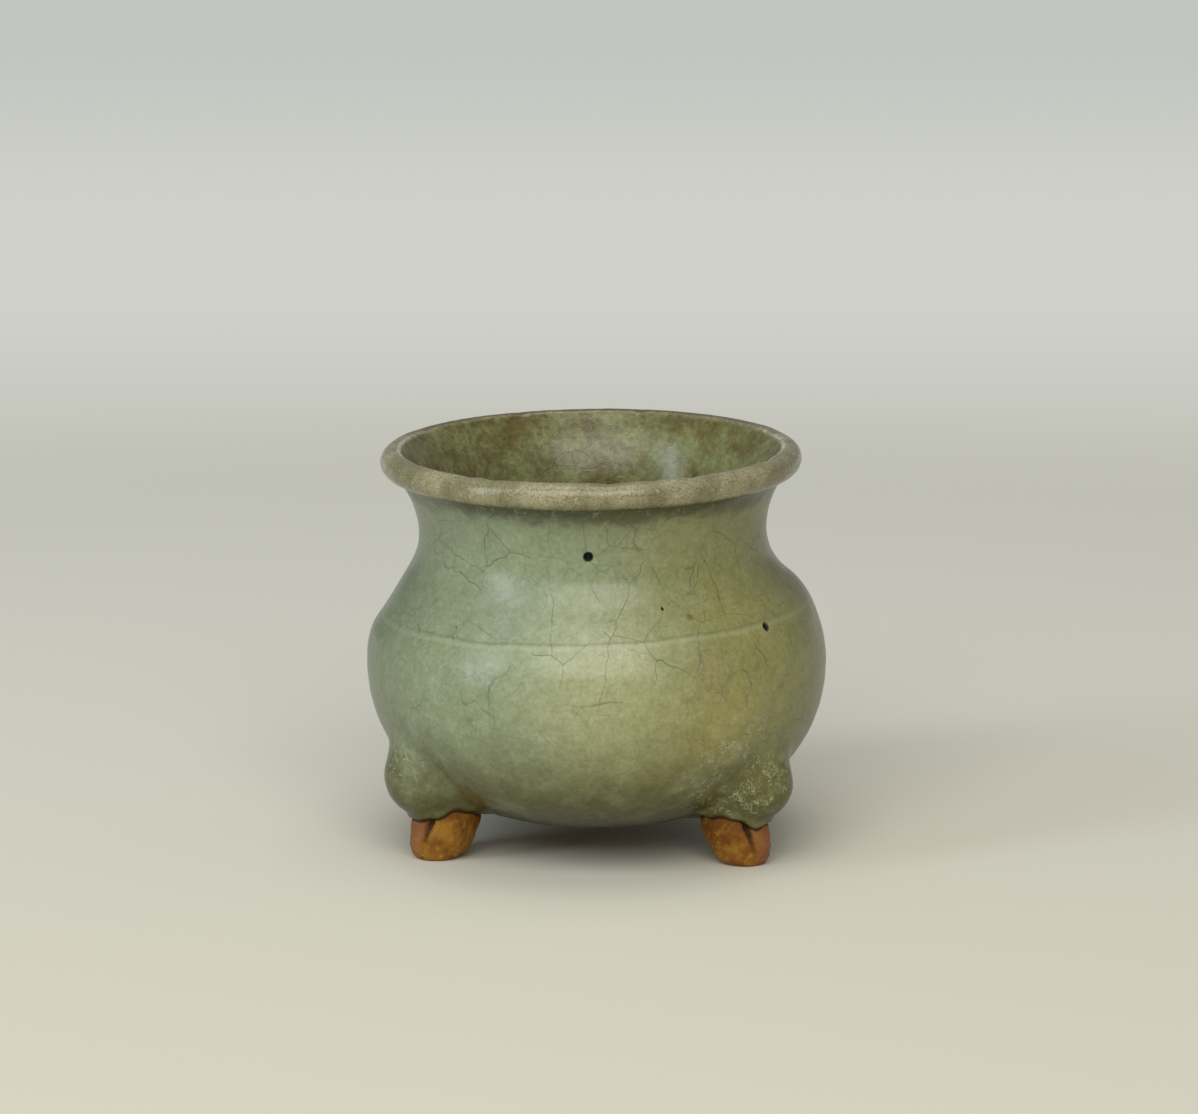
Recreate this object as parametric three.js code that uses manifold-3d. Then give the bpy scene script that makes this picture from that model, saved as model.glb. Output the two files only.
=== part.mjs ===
// Tripod incense burner: a small glazed stoneware pot on three legs.
//
// Millimetres, +Z up. The origin is on the pot's axis, on the table that the three toes stand on.
// The pot is put together as a potter does it: a thrown lower bowl, a thrown shoulder and neck luted
// on it, a rolled lip, and three modelled legs, each a glazed knee over a toe of bare clay.
// Luted pieces lie a slip's thickness (LUTE_GAP) apart.

import * as THREE from 'three';
import { mergeVertices } from 'three/addons/utils/BufferGeometryUtils.js';
import Module from 'manifold-3d';

const wasm = await Module();
wasm.setup();

// Belly: the widest part, and the depth from there down to the underside.
const BELLY_RADIUS = 48.5;
const BELLY_DEPTH = 32.1;
const BELLY_WALL = 4.6;
// How far the belly's underside stands above the table.
const UNDERSIDE_CLEARANCE = 7.0;

// Shoulder joint: how far above the belly's widest part the two thrown halves meet.
const SEAM_RISE = 12.7;

// Waist: how far the neck draws in from the belly, and its rise above the belly's widest part.
const WAIST_INSET = 12.1;
const WAIST_RISE = 27.7;
const NECK_WALL = 3.8;

// Rolled lip: how far it stands out from the waist, the radius of the roll, its crest's rise above the waist.
const LIP_OVERHANG = 7.7;
const ROLL_RADIUS = 2.9;
const LIP_RISE = 18.4;

// Floor of the bowl and the low ring that the bowl was turned with.
const FLOOR_THICKNESS = 5.2;
const FLOOR_FLAT_RADIUS = 12;
const FOOT_RADIUS = 14;
const FOOT_WIDTH = 2.6;
const FOOT_HEIGHT = 1.2;
const FOOT_RECESS = 1.0;

// Knees: rounded swellings low on the belly. The rise is from the belly's underside.
const KNEE_RADIUS = 8.2;
const KNEE_HALF_WIDTH = 8.4;
const KNEE_RISE = 10.6;
const KNEE_INSET = 8.7;
// How widely the joins are rounded off: knee to belly, and knee to the stub over the toe.
const KNEE_FILLET = 4.5;
const STUB_FILLET = 2;

// Glaze edge, where the knee ends and the bare toe begins, below the knee's fullest level.
const GLAZE_EDGE_DROP = 7.8;
// The edge runs lower at the front and back of the toe and higher on its flanks.
const GLAZE_EDGE_WAVE = 1.3;
const GLAZE_LIP = 0.5;

// Toes: length along the leg's outward direction, width across it, and how far the toe's centre lies
// inside the knee's centre. The sole is smaller than the toe and lies a little further out.
const TOE_HALF_LENGTH = 7.3;
const TOE_HALF_WIDTH = 6.5;
const TOE_INSET = 5.0;
const SOLE_SHARE = 0.62;
const TOE_ROUNDED_SHARE = 0.6;
const SOLE_SHIFT = 1.4;

// Clefts on both sides of the toe's middle ridge.
const CLEFT_DEPTH_SHARE = 0.16;
const CLEFT_HALF_WIDTH = 9;
const CLEFT_ANGLE_SOLE = 25;
const CLEFT_ANGLE_TOP = 40;

// Legs: three, evenly spaced, the first at this angle from +X.
const LEG_COUNT = 3;
const FIRST_LEG_ANGLE = 206;

// Clearance that stands for the slip between two luted pieces.
const LUTE_GAP = 0.3;

// Leans of the outline, in degrees from upright, and how full each curve is at its two ends, as a share
// of the straight line between them.
const FLARE_LEAN = 49;
const BELLY_CURVE = [0.394, 0.419];
const SHOULDER_CURVE = [0.479, 0.349];
const FLARE_CURVE = [0.31, 0.292];

// Facets round the pot, round a knee and round a toe.
const POT_FACETS = 56;
const KNEE_FACETS = 36;
const KNEE_RINGS = 15;
const TOE_FACETS = 48;
// Halvings of a search along a line or curve, enough for a thousandth of a millimetre.
const HALVINGS = 24;

// Where the knee's rings are looked at from, inside and above the toe, the lean of the look below level,
// and how wide it opens.
const KNEE_HEART_INSET = 4.8;
const KNEE_HEART_RISE = 6.4;
const KNEE_AIM = 43;
const KNEE_OPENING = 62;

// Levels and places that follow from the sizes above.
const bellyZ = UNDERSIDE_CLEARANCE + BELLY_DEPTH;
const seamZ = bellyZ + SEAM_RISE;
const waistZ = bellyZ + WAIST_RISE;
const crestZ = waistZ + LIP_RISE;
const floorZ = UNDERSIDE_CLEARANCE + FLOOR_THICKNESS;
const kneeZ = UNDERSIDE_CLEARANCE + KNEE_RISE;
const kneeCircle = BELLY_RADIUS - KNEE_INSET;
const toeCircle = kneeCircle - TOE_INSET;
const glazeEdgeZ = kneeZ - GLAZE_EDGE_DROP;
const waistRadius = BELLY_RADIUS - WAIST_INSET;
const rollCentre = new THREE.Vector2(waistRadius + LIP_OVERHANG - ROLL_RADIUS, crestZ - ROLL_RADIUS);

const radians = THREE.MathUtils.degToRad;

// Direction in the outline's plane (x is the radius, y the height) at a lean from upright.
function leaning(degrees) {
  return new THREE.Vector2(Math.sin(radians(degrees)), Math.cos(radians(degrees)));
}

// Smooth curve between two points of the outline, given the lean and the fullness at each end.
function outlineCurve(from, fromLean, to, toLean, fullness) {
  const chord = from.distanceTo(to);
  const handleA = from.clone().addScaledVector(leaning(fromLean), fullness[0] * chord);
  const handleB = to.clone().addScaledVector(leaning(toLean), -fullness[1] * chord);
  return new THREE.CubicBezierCurve(from, handleA, handleB, to);
}

// The curve's parameter at a height. The curve climbs all the way, so halving finds it.
function parameterAtHeight(curve, height) {
  let low = 0;
  let high = 1;
  for (let step = 0; step < HALVINGS; step += 1) {
    const middle = (low + high) / 2;
    if (curve.getPoint(middle).y < height) {
      low = middle;
    } else {
      high = middle;
    }
  }
  return (low + high) / 2;
}

// Points of a curve between two parameters, ends included.
function stretch(curve, start, end, divisions) {
  const points = [];
  for (let i = 0; i <= divisions; i += 1) {
    points.push(curve.getPoint(start + ((end - start) * i) / divisions));
  }
  return points;
}

// A closed geometry with shared vertices merged and no triangle that has shrunk to a line.
function mergedGeometry(geometry) {
  geometry.deleteAttribute('normal');
  geometry.deleteAttribute('uv');
  const merged = mergeVertices(geometry, 1e-4);
  const index = merged.getIndex().array;
  const kept = [];
  for (let i = 0; i < index.length; i += 3) {
    const [a, b, c] = [index[i], index[i + 1], index[i + 2]];
    if (a !== b && b !== c && c !== a) {
      kept.push(a, b, c);
    }
  }
  merged.setIndex(kept);
  return merged;
}

// Turns an outline round the pot's axis. The outline runs up on the outside and down on the inside.
function turned(points) {
  const geometry = new THREE.LatheGeometry(points, POT_FACETS);
  geometry.rotateX(Math.PI / 2);
  return mergedGeometry(geometry);
}

function toSolid(geometry) {
  return new wasm.Manifold(new wasm.Mesh({
    numProp: 3,
    vertProperties: new Float32Array(geometry.getAttribute('position').array),
    triVerts: new Uint32Array(geometry.getIndex().array),
  }));
}

function toGeometry(solid) {
  const mesh = solid.getMesh();
  const geometry = new THREE.BufferGeometry();
  geometry.setAttribute('position', new THREE.BufferAttribute(mesh.vertProperties, 3));
  geometry.setIndex(new THREE.BufferAttribute(mesh.triVerts, 1));
  return geometry;
}

// Lofts closed rings of points, lowest first, into one skin with a cap at each end. ringPoint(angle, share)
// gives a point, angle from the outward direction and share from 0 at the bottom to 1 at the top.
function loft(ringPoint, shares, facets, bottomCentre, topCentre) {
  const positions = [];
  for (const share of shares) {
    for (let i = 0; i < facets; i += 1) {
      positions.push(...ringPoint((i / facets) * 2 * Math.PI, share).toArray());
    }
  }
  const bottom = positions.length / 3;
  positions.push(...bottomCentre.toArray(), ...topCentre.toArray());
  const top = bottom + 1;
  const index = [];
  const lastRing = (shares.length - 1) * facets;
  for (let i = 0; i < facets; i += 1) {
    const next = (i + 1) % facets;
    for (let ring = 0; ring < lastRing; ring += facets) {
      index.push(ring + i, ring + next, ring + facets + next);
      index.push(ring + i, ring + facets + next, ring + facets + i);
    }
    index.push(bottom, next, i);
    index.push(top, lastRing + i, lastRing + next);
  }
  const geometry = new THREE.BufferGeometry();
  geometry.setAttribute('position', new THREE.Float32BufferAttribute(positions, 3));
  geometry.setIndex(index);
  return geometry;
}

// Outline curves. Outside: underside to belly, belly to waist, waist to the crease under the roll.
// Inside: the same, a wall's thickness in.
const foot = new THREE.Vector2(FOOT_RADIUS, UNDERSIDE_CLEARANCE);
const belly = new THREE.Vector2(BELLY_RADIUS, bellyZ);
const waist = new THREE.Vector2(waistRadius, waistZ);
const crease = new THREE.Vector2(rollCentre.x, rollCentre.y - ROLL_RADIUS * 0.92);
const innerFloor = new THREE.Vector2(FLOOR_FLAT_RADIUS, floorZ);
const innerBelly = new THREE.Vector2(BELLY_RADIUS - BELLY_WALL, bellyZ);
const innerWaist = new THREE.Vector2(waistRadius - NECK_WALL, waistZ);
const throat = crease.clone().addScaledVector(leaning(FLARE_LEAN - 90), NECK_WALL);

const lowerCurve = outlineCurve(foot, 90, belly, 0, BELLY_CURVE);
const shoulderCurve = outlineCurve(belly, 0, waist, 0, SHOULDER_CURVE);
const flareCurve = outlineCurve(waist, 0, crease, FLARE_LEAN, FLARE_CURVE);
const innerLowerCurve = outlineCurve(innerFloor, 90, innerBelly, 0, BELLY_CURVE);
const innerShoulderCurve = outlineCurve(innerBelly, 0, innerWaist, 0, SHOULDER_CURVE);
const innerFlareCurve = outlineCurve(innerWaist, 0, throat, FLARE_LEAN, FLARE_CURVE);

// Lower bowl: low foot ring, belly up to the shoulder joint, and the hollow down to a flat floor.
function makeLowerBowl() {
  const footZ = UNDERSIDE_CLEARANCE - FOOT_HEIGHT;
  const innerFoot = FOOT_RADIUS - FOOT_WIDTH;
  return turned([
    new THREE.Vector2(0, footZ + FOOT_RECESS),
    new THREE.Vector2(innerFoot - FOOT_RECESS, footZ + FOOT_RECESS),
    new THREE.Vector2(innerFoot, footZ),
    new THREE.Vector2(FOOT_RADIUS - FOOT_HEIGHT / 2, footZ),
    ...stretch(lowerCurve, 0, 1, 12),
    ...stretch(shoulderCurve, 0, parameterAtHeight(shoulderCurve, seamZ), 4).slice(1),
    ...stretch(innerShoulderCurve, parameterAtHeight(innerShoulderCurve, seamZ), 0, 3),
    ...stretch(innerLowerCurve, 1, 0, 9).slice(1),
    new THREE.Vector2(0, floorZ),
  ]);
}

// Upper body: shoulder above the joint, waist, and the flare that carries the roll.
function makeUpperBody() {
  const jointZ = seamZ + LUTE_GAP;
  const outside = [
    ...stretch(shoulderCurve, parameterAtHeight(shoulderCurve, jointZ), 1, 6),
    ...stretch(flareCurve, 0, 1, 6).slice(1),
  ];
  const inside = [
    ...stretch(innerFlareCurve, 1, 0, 5),
    ...stretch(innerShoulderCurve, 1, parameterAtHeight(innerShoulderCurve, jointZ), 5).slice(1),
  ];
  return turned([...outside, ...inside, outside[0].clone()]);
}

// Rolled lip: a round roll outside, a softer slope inside, seated on the neck's bevelled end.
function makeRimRoll() {
  const along = leaning(FLARE_LEAN);
  const seatOutside = crease.clone().addScaledVector(along, LUTE_GAP);
  const seatInside = throat.clone().addScaledVector(along, LUTE_GAP);
  const rollArc = new THREE.EllipseCurve(
    rollCentre.x, rollCentre.y, ROLL_RADIUS, ROLL_RADIUS, radians(-74), radians(118),
  );
  return turned([seatOutside, ...rollArc.getPoints(11), seatInside, seatOutside.clone()]);
}

// The belly's outside as a filled body, moved out by the slip's thickness, which cuts a leg's seat.
function makeSeatCutter() {
  const points = [new THREE.Vector2(0, foot.y - LUTE_GAP)];
  const divisions = 24;
  for (let i = 0; i <= divisions; i += 1) {
    const place = lowerCurve.getPoint(i / divisions);
    const along = lowerCurve.getTangent(i / divisions);
    points.push(new THREE.Vector2(place.x + along.y * LUTE_GAP, place.y - along.x * LUTE_GAP));
  }
  points.push(new THREE.Vector2(0, bellyZ));
  return toSolid(turned(points));
}

// How far a point lies outside the belly, negative inside, along the line from the belly's middle.
function outsideBelly(point) {
  const across = Math.hypot(point.x, point.y);
  const slope = Math.atan2(bellyZ - point.z, across);
  let low = 0;
  let high = 1;
  for (let step = 0; step < HALVINGS; step += 1) {
    const middle = (low + high) / 2;
    const place = lowerCurve.getPoint(middle);
    if (Math.atan2(bellyZ - place.y, place.x) > slope) {
      low = middle;
    } else {
      high = middle;
    }
  }
  return Math.hypot(across, bellyZ - point.z) - lowerCurve.getPoint(low).distanceTo(new THREE.Vector2(0, bellyZ));
}

// How far a point lies outside an ellipse in plan, or outside an ellipsoid, near enough for blending.
function outsideEllipse(x, y, halfLength, halfWidth) {
  return (Math.hypot(x / halfLength, y / halfWidth) - 1) * Math.min(halfLength, halfWidth);
}

function outsideKnee(point) {
  const fromKnee = new THREE.Vector2(point.x - kneeCircle, point.z - kneeZ).length();
  return outsideEllipse(fromKnee, point.y, KNEE_RADIUS, KNEE_HALF_WIDTH);
}

// The glazed stub that stands on the toe, wider than the toe by the glaze's lip.
function outsideStub(point) {
  return outsideEllipse(
    point.x - toeCircle, point.y, TOE_HALF_LENGTH + GLAZE_LIP, TOE_HALF_WIDTH + GLAZE_LIP,
  );
}

// The smaller of two distances, rounded off where they are alike, as a thumb rounds off a join in clay.
function blended(a, b, reach) {
  const overlap = Math.max(reach - Math.abs(a - b), 0) / reach;
  return Math.min(a, b) - (overlap * overlap * reach) / 4;
}

function outsideLeg(point) {
  const lump = blended(outsideKnee(point), outsideStub(point), STUB_FILLET);
  return blended(outsideBelly(point), lump, KNEE_FILLET);
}

// The glaze edge as the top of a wide plug round the toe: low in front and behind, high on the flanks.
function makeGlazeEdge(lowered) {
  const spread = 2.2;
  const edgePoint = (angle, share) => new THREE.Vector3(
    toeCircle + TOE_HALF_LENGTH * spread * Math.cos(angle),
    TOE_HALF_LENGTH * spread * Math.sin(angle),
    share === 0 ? -GLAZE_EDGE_DROP : glazeEdgeZ - lowered - GLAZE_EDGE_WAVE * spread * Math.cos(2 * angle),
  );
  return toSolid(loft(
    edgePoint, [0, 1], KNEE_FACETS,
    new THREE.Vector3(toeCircle, 0, -GLAZE_EDGE_DROP), new THREE.Vector3(toeCircle, 0, glazeEdgeZ - lowered),
  ));
}

// Knee: rings of points round a line that looks out and down through the belly's wall, each pushed out
// from deep in the belly until it meets the blended surface. What lies in the belly is then cut away,
// and the glaze edge trims the foot of it.
function makeKnee(seatCutter) {
  const heart = new THREE.Vector3(toeCircle - KNEE_HEART_INSET, 0, kneeZ + KNEE_HEART_RISE);
  const aim = new THREE.Vector3(Math.cos(radians(KNEE_AIM)), 0, -Math.sin(radians(KNEE_AIM)));
  const aside = new THREE.Vector3(0, 1, 0);
  const upwards = aim.clone().cross(aside);
  const furthest = kneeZ + KNEE_HEART_RISE;
  const pushedOut = (angle, opening) => {
    const direction = aim.clone().multiplyScalar(Math.cos(opening));
    direction.addScaledVector(aside, Math.sin(opening) * Math.cos(angle));
    direction.addScaledVector(upwards, Math.sin(opening) * Math.sin(angle));
    let low = 0;
    let high = furthest;
    for (let step = 0; step < HALVINGS; step += 1) {
      const middle = (low + high) / 2;
      if (outsideLeg(heart.clone().addScaledVector(direction, middle)) < 0) {
        low = middle;
      } else {
        high = middle;
      }
    }
    return heart.clone().addScaledVector(direction, low);
  };
  const shares = [];
  for (let ring = 0; ring < KNEE_RINGS; ring += 1) {
    shares.push(ring / KNEE_RINGS);
  }
  const raw = loft(
    (angle, share) => pushedOut(angle, radians(KNEE_OPENING) * (1 - share)),
    shares, KNEE_FACETS, heart, pushedOut(0, 0),
  );
  return toSolid(raw).subtract(seatCutter).subtract(makeGlazeEdge(0));
}

// Toe: a rounded nub with a flat sole. Its plan is an ellipse with a cleft on each side of a middle
// ridge; the clefts draw together towards the sole and run out just above it.
function toePoint(angle, share) {
  const rise = Math.min(1, share / TOE_ROUNDED_SHARE);
  const size = SOLE_SHARE + (1 - SOLE_SHARE) * Math.sqrt(1 - (1 - rise) * (1 - rise));
  const cleftAngle = THREE.MathUtils.lerp(CLEFT_ANGLE_SOLE, CLEFT_ANGLE_TOP, share);
  const degrees = THREE.MathUtils.radToDeg(angle > Math.PI ? angle - 2 * Math.PI : angle);
  const off = (Math.abs(degrees) - cleftAngle) / CLEFT_HALF_WIDTH;
  const cleft = 1 - CLEFT_DEPTH_SHARE * rise * Math.exp(-off * off);
  const centre = toeCircle + SOLE_SHIFT * (1 - rise);
  return new THREE.Vector3(
    centre + TOE_HALF_LENGTH * size * cleft * Math.cos(angle),
    TOE_HALF_WIDTH * size * cleft * Math.sin(angle),
    glazeEdgeZ * share,
  );
}

function makeToe(seatCutter) {
  const shares = [0, 0.04, 0.12, 0.24, 0.4, 0.6, 0.8, 1.3];
  const raw = loft(
    toePoint, shares, TOE_FACETS,
    new THREE.Vector3(toeCircle + SOLE_SHIFT, 0, 0), new THREE.Vector3(toeCircle, 0, glazeEdgeZ * 1.3),
  );
  return toSolid(raw).intersect(makeGlazeEdge(LUTE_GAP)).subtract(seatCutter);
}

// Finishes, from the photograph: sea-green glaze, the same glaze thin and tan on the lip, burnt clay.
const glaze = { color: '#8b9673', roughness: 0.3, metalness: 0 };
const lipGlaze = { color: '#a09a7e', roughness: 0.38, metalness: 0 };
const bareClay = { color: '#8a5a1e', roughness: 0.8, metalness: 0 };

function named(name, geometry, finish) {
  const mesh = new THREE.Mesh(geometry, new THREE.MeshStandardMaterial(finish));
  mesh.name = name;
  return mesh;
}

const group = new THREE.Group();
group.add(named('lower_bowl', makeLowerBowl(), glaze));
group.add(named('upper_body', makeUpperBody(), glaze));
group.add(named('rim_roll', makeRimRoll(), lipGlaze));

const seatCutter = makeSeatCutter();
const kneeGeometry = toGeometry(makeKnee(seatCutter));
const toeGeometry = toGeometry(makeToe(seatCutter));
const legNames = ['front_left', 'front_right', 'back'];
for (let i = 0; i < LEG_COUNT; i += 1) {
  const leg = new THREE.Group();
  leg.rotation.z = radians(FIRST_LEG_ANGLE + (360 / LEG_COUNT) * i);
  leg.add(named(`leg_${legNames[i]}`, kneeGeometry, glaze));
  leg.add(named(`toe_${legNames[i]}`, toeGeometry, bareClay));
  group.add(leg);
}

export default group;
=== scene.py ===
# Tripod incense burner: a small celadon pot, thrown in two halves and stood on three modelled legs.
# Sizes are in millimetres from the pot's axis and from the table, and become metres in the meshes.
import math

import bpy
import numpy as np
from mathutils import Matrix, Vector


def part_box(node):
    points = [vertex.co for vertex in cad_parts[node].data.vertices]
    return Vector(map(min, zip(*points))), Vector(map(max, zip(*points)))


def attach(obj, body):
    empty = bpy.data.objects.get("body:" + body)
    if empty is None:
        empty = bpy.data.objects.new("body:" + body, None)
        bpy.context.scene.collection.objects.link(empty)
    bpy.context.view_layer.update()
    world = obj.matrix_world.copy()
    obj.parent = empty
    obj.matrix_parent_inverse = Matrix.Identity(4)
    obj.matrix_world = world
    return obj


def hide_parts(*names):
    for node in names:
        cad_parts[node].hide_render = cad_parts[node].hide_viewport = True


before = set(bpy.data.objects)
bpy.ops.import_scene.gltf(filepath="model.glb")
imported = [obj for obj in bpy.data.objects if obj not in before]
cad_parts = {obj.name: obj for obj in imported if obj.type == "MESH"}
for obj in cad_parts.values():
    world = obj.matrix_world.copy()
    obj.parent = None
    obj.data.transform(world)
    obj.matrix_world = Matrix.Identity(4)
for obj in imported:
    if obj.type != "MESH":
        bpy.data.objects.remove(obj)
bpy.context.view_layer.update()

# Lower bowl.
# The thrown lower half of the belly, stoneware with celadon glaze inside and out. Its underside keeps the
# low foot ring that it was turned on, wiped bare. The shoulder is luted on its upper edge.
MILLIMETRE = 0.001
GLAZE_ROOM = 0.2
CREST_ROOM = 0.52
BELLY_HEIGHT = 39.1
UNDERSIDE_HEIGHT = 7.0
JOINT_HEIGHT = 51.9
WAIST_HEIGHT = 66.8
WAIST_RADIUS = 36.4
BELLY_WALL = 4.6
NECK_WALL = 3.8
FLOOR_HEIGHT = 12.2
FLOOR_RADIUS = 12.0
FOOT_RADIUS = 14.0
FOOT_WIDTH = 2.6
FOOT_DEPTH = 1.2
BELLY_FULLNESS = (0.394, 0.419)
SHOULDER_FULLNESS = (0.479, 0.349)
OUTLINE_POINTS = 401
belly_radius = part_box("lower_bowl")[1].x / MILLIMETRE - GLAZE_ROOM
crest_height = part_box("rim_roll")[1].z / MILLIMETRE - CREST_ROOM


def outline(start, start_lean, end, end_lean, fullness):
    """Radius and height along a smooth outline. A cubic curve whose handles point along the two leans,
    in degrees from upright, each as long as its fullness times the straight line between the ends."""
    start = np.array(start)
    end = np.array(end)
    chord = np.linalg.norm(end - start)
    leans = np.radians([start_lean, end_lean])
    handles = np.column_stack([np.sin(leans), np.cos(leans)]) * np.array(fullness)[:, None] * chord
    first = start + handles[0]
    second = end - handles[1]
    t = np.linspace(0, 1, OUTLINE_POINTS)[:, None]
    return (1 - t) ** 3 * start + 3 * (1 - t) ** 2 * t * first + 3 * (1 - t) * t ** 2 * second + t ** 3 * end


def below(points, height):
    """The part of a climbing outline up to a height, ending exactly there."""
    kept = points[points[:, 1] < height]
    return np.vstack([kept, [np.interp(height, points[:, 1], points[:, 0]), height]])


def evenly(points, spacing):
    """The same outline with its points about spacing apart, measured along it."""
    along = np.concatenate([[0], np.cumsum(np.linalg.norm(np.diff(points, axis=0), axis=1))])
    wanted = np.linspace(0, along[-1], int(np.ceil(along[-1] / spacing)) + 1)
    return np.column_stack([np.interp(wanted, along, points[:, 0]), np.interp(wanted, along, points[:, 1])])


def softened(points, passes):
    """Corners rounded as a sponge does it: each point moves to the mean of itself and its neighbours."""
    for _ in range(passes):
        inner = (points[:-2] + 2 * points[1:-1] + points[2:]) / 4
        points = np.vstack([points[:1], inner, points[-1:]])
    return points


def soft_step(values, start, end):
    """0 before start, 1 after end, and an S between them."""
    share = np.clip((values - start) / (end - start), 0, 1)
    return share * share * (3 - 2 * share)


OVAL = 0.0014
OVAL_TURN = 0.6
WOBBLE = 0.0008
WOBBLE_TWIST = 14
THROWING_RIDGE = 0.0004
RIDGE_CLIMB = 1.3
NECK_LEAN = 1.15
MOUTH_TILT = 0.0105
JOINT_TILT = 0.038
JOINT_WANDER = 0.35
WANDER_TURN = 1.0
JOINT_REACH = 5.0


def hand_made(points):
    """The unevenness that every piece shares. The radius swells with two and three waves round the pot and
    fine ridges up it, the joint climbs to the right, the neck leans left and the mouth is higher right."""
    x, y, z = points.T
    around = np.arctan2(y, x)
    swell = 1 + OVAL * np.sin(2 * around + OVAL_TURN) + WOBBLE * np.sin(3 * around + z / WOBBLE_TWIST)
    swell = swell + THROWING_RIDGE * np.sin(z * RIDGE_CLIMB + around)
    rise = soft_step(z, BELLY_HEIGHT, crest_height)
    near_joint = np.exp(-((z - JOINT_HEIGHT) / JOINT_REACH) ** 2)
    climb = JOINT_TILT * x + JOINT_WANDER * np.sin(5 * around + WANDER_TURN) * np.sin(2 * around)
    return np.column_stack([
        x * swell - NECK_LEAN * rise,
        y * swell,
        z + MOUTH_TILT * x * rise + climb * near_joint,
    ])


def crowded_angles(count, spots, crowding):
    """Angles once round the pot, closer together near each spot: the running total of a density of 1 plus
    a bell round every spot, read backwards at even steps."""
    bell_width = 0.05
    fine_steps = 20001
    fine = np.linspace(0, 2 * np.pi, fine_steps)
    away = np.angle(np.exp(1j * (fine[:, None] - np.array(spots))))
    density = 1 + crowding * np.exp(-(away / bell_width) ** 2).sum(axis=1)
    total = np.concatenate([[0], np.cumsum((density[1:] + density[:-1]) / 2)])
    return np.interp(np.arange(count) / count * total[-1], total, fine)


def ring_faces(rings, around, closed=False):
    """Quads between neighbouring rings of points, each ring joined to itself."""
    ring = np.arange(rings if closed else rings - 1)[:, None] * around
    after = (ring + around) % (rings * around)
    turn = np.arange(around)[None, :]
    following = (turn + 1) % around
    corners = [ring + turn, ring + following, after + following, after + turn]
    return np.stack(corners, axis=-1).reshape(-1, 4)


def cap_faces(ring_start, around, pole, last_ring):
    """Triangles that close the first or the last ring of points on its pole, facing outwards."""
    turn = ring_start + np.arange(around)
    following = ring_start + (np.arange(around) + 1) % around
    sides = [turn, following] if last_ring else [following, turn]
    return np.column_stack([np.full(around, pole), *sides])


# Pinholes that burst through the glaze in the kiln: across and up on the front wall, and the radius.
PINHOLE_NECK = (-1.7, 68.2, 1.05)
PINHOLE_SHOULDER = (34.9, 52.1, 0.95)
PINHOLE_SMALL = (13.5, 57.8, 0.36)
PINHOLE_DEPTH_SHARE = 1.3
PINHOLE_WALL_SHARES = (0.5, 1.1)
PINHOLE_MARK_SHARES = (0.8, 1.15)
FAR_AWAY = 1000.0


def pinholes(points, holes):
    """Outward relief of the wall, a steep-sided pit at each hole's place on the front wall, and a mark
    that is 1 in the pits and 0 elsewhere."""
    relief = np.zeros(len(points))
    mark = np.zeros(len(points))
    at_the_back = FAR_AWAY * (points[:, 1] > 0)
    for across, up, radius in holes:
        off = np.hypot(points[:, 0] - across, points[:, 2] - up) + at_the_back
        away = np.linalg.norm(points - points[np.argmin(off)], axis=1) / radius
        relief -= PINHOLE_DEPTH_SHARE * radius * (1 - soft_step(away, *PINHOLE_WALL_SHARES))
        mark = np.maximum(mark, 1 - soft_step(away, *PINHOLE_MARK_SHARES))
    return relief, mark


def turned(profile, angles, holes=(), relief=None):
    """A profile carried round the pot's axis as a grid of points, one ring for each point of the profile.
    Each point then moves along the profile's own normal by the pinholes or the relief at its place."""
    along = np.gradient(profile, axis=0)
    along = along / np.linalg.norm(along, axis=1)[:, None]
    radius = profile[:, :1]
    cosine = np.cos(angles)[None, :]
    sine = np.sin(angles)[None, :]
    height = np.broadcast_to(profile[:, 1:], (len(profile), len(angles)))
    points = np.stack([radius * cosine, radius * sine, height], axis=-1).reshape(-1, 3)
    outwards = along[:, 1:]
    upwards = np.broadcast_to(-along[:, :1], height.shape)
    normals = np.stack([outwards * cosine, outwards * sine, upwards], axis=-1).reshape(-1, 3)
    points = hand_made(points)
    depth, mark = pinholes(points, holes)
    if relief is not None:
        depth = depth + relief(points)
    return points + normals * depth[:, None], mark


def put_piece(name, points, faces, materials, face_materials=None, marks=None):
    """A named mesh object from points in millimetres and arrays of faces, with smooth shading. Marks are
    values at the points, by name, that its finish reads."""
    mesh = bpy.data.meshes.new(name)
    corners = np.concatenate([block.ravel() for block in faces]).astype(np.int32)
    sizes = np.concatenate([np.full(len(block), block.shape[1]) for block in faces]).astype(np.int32)
    mesh.vertices.add(len(points))
    mesh.vertices.foreach_set("co", (points * MILLIMETRE).astype(np.float32).ravel())
    mesh.loops.add(len(corners))
    mesh.loops.foreach_set("vertex_index", corners)
    mesh.polygons.add(len(sizes))
    mesh.polygons.foreach_set("loop_start", (np.cumsum(sizes) - sizes).astype(np.int32))
    for material in materials:
        mesh.materials.append(material)
    if face_materials is not None:
        mesh.polygons.foreach_set("material_index", face_materials.astype(np.int32))
    mesh.polygons.foreach_set("use_smooth", np.ones(len(sizes), dtype=bool))
    mesh.update(calc_edges=True)
    for mark, values in (marks or {}).items():
        layer = mesh.attributes.new(mark, "FLOAT", "POINT")
        layer.data.foreach_set("value", values.astype(np.float32))
    piece = bpy.data.objects.new(name, mesh)
    bpy.context.scene.collection.objects.link(piece)
    return piece


# Finish of the glaze, mixed from layers that sit in groups of shader nodes.
def paint(red, green, blue):
    """A colour as the eye reads it, 0 to 255, turned into the light that a shader works with."""
    shares = np.array([red, green, blue]) / 255
    light = np.where(shares <= 0.04045, shares / 12.92, ((shares + 0.055) / 1.055) ** 2.4)
    return (*light.tolist(), 1.0)


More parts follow.
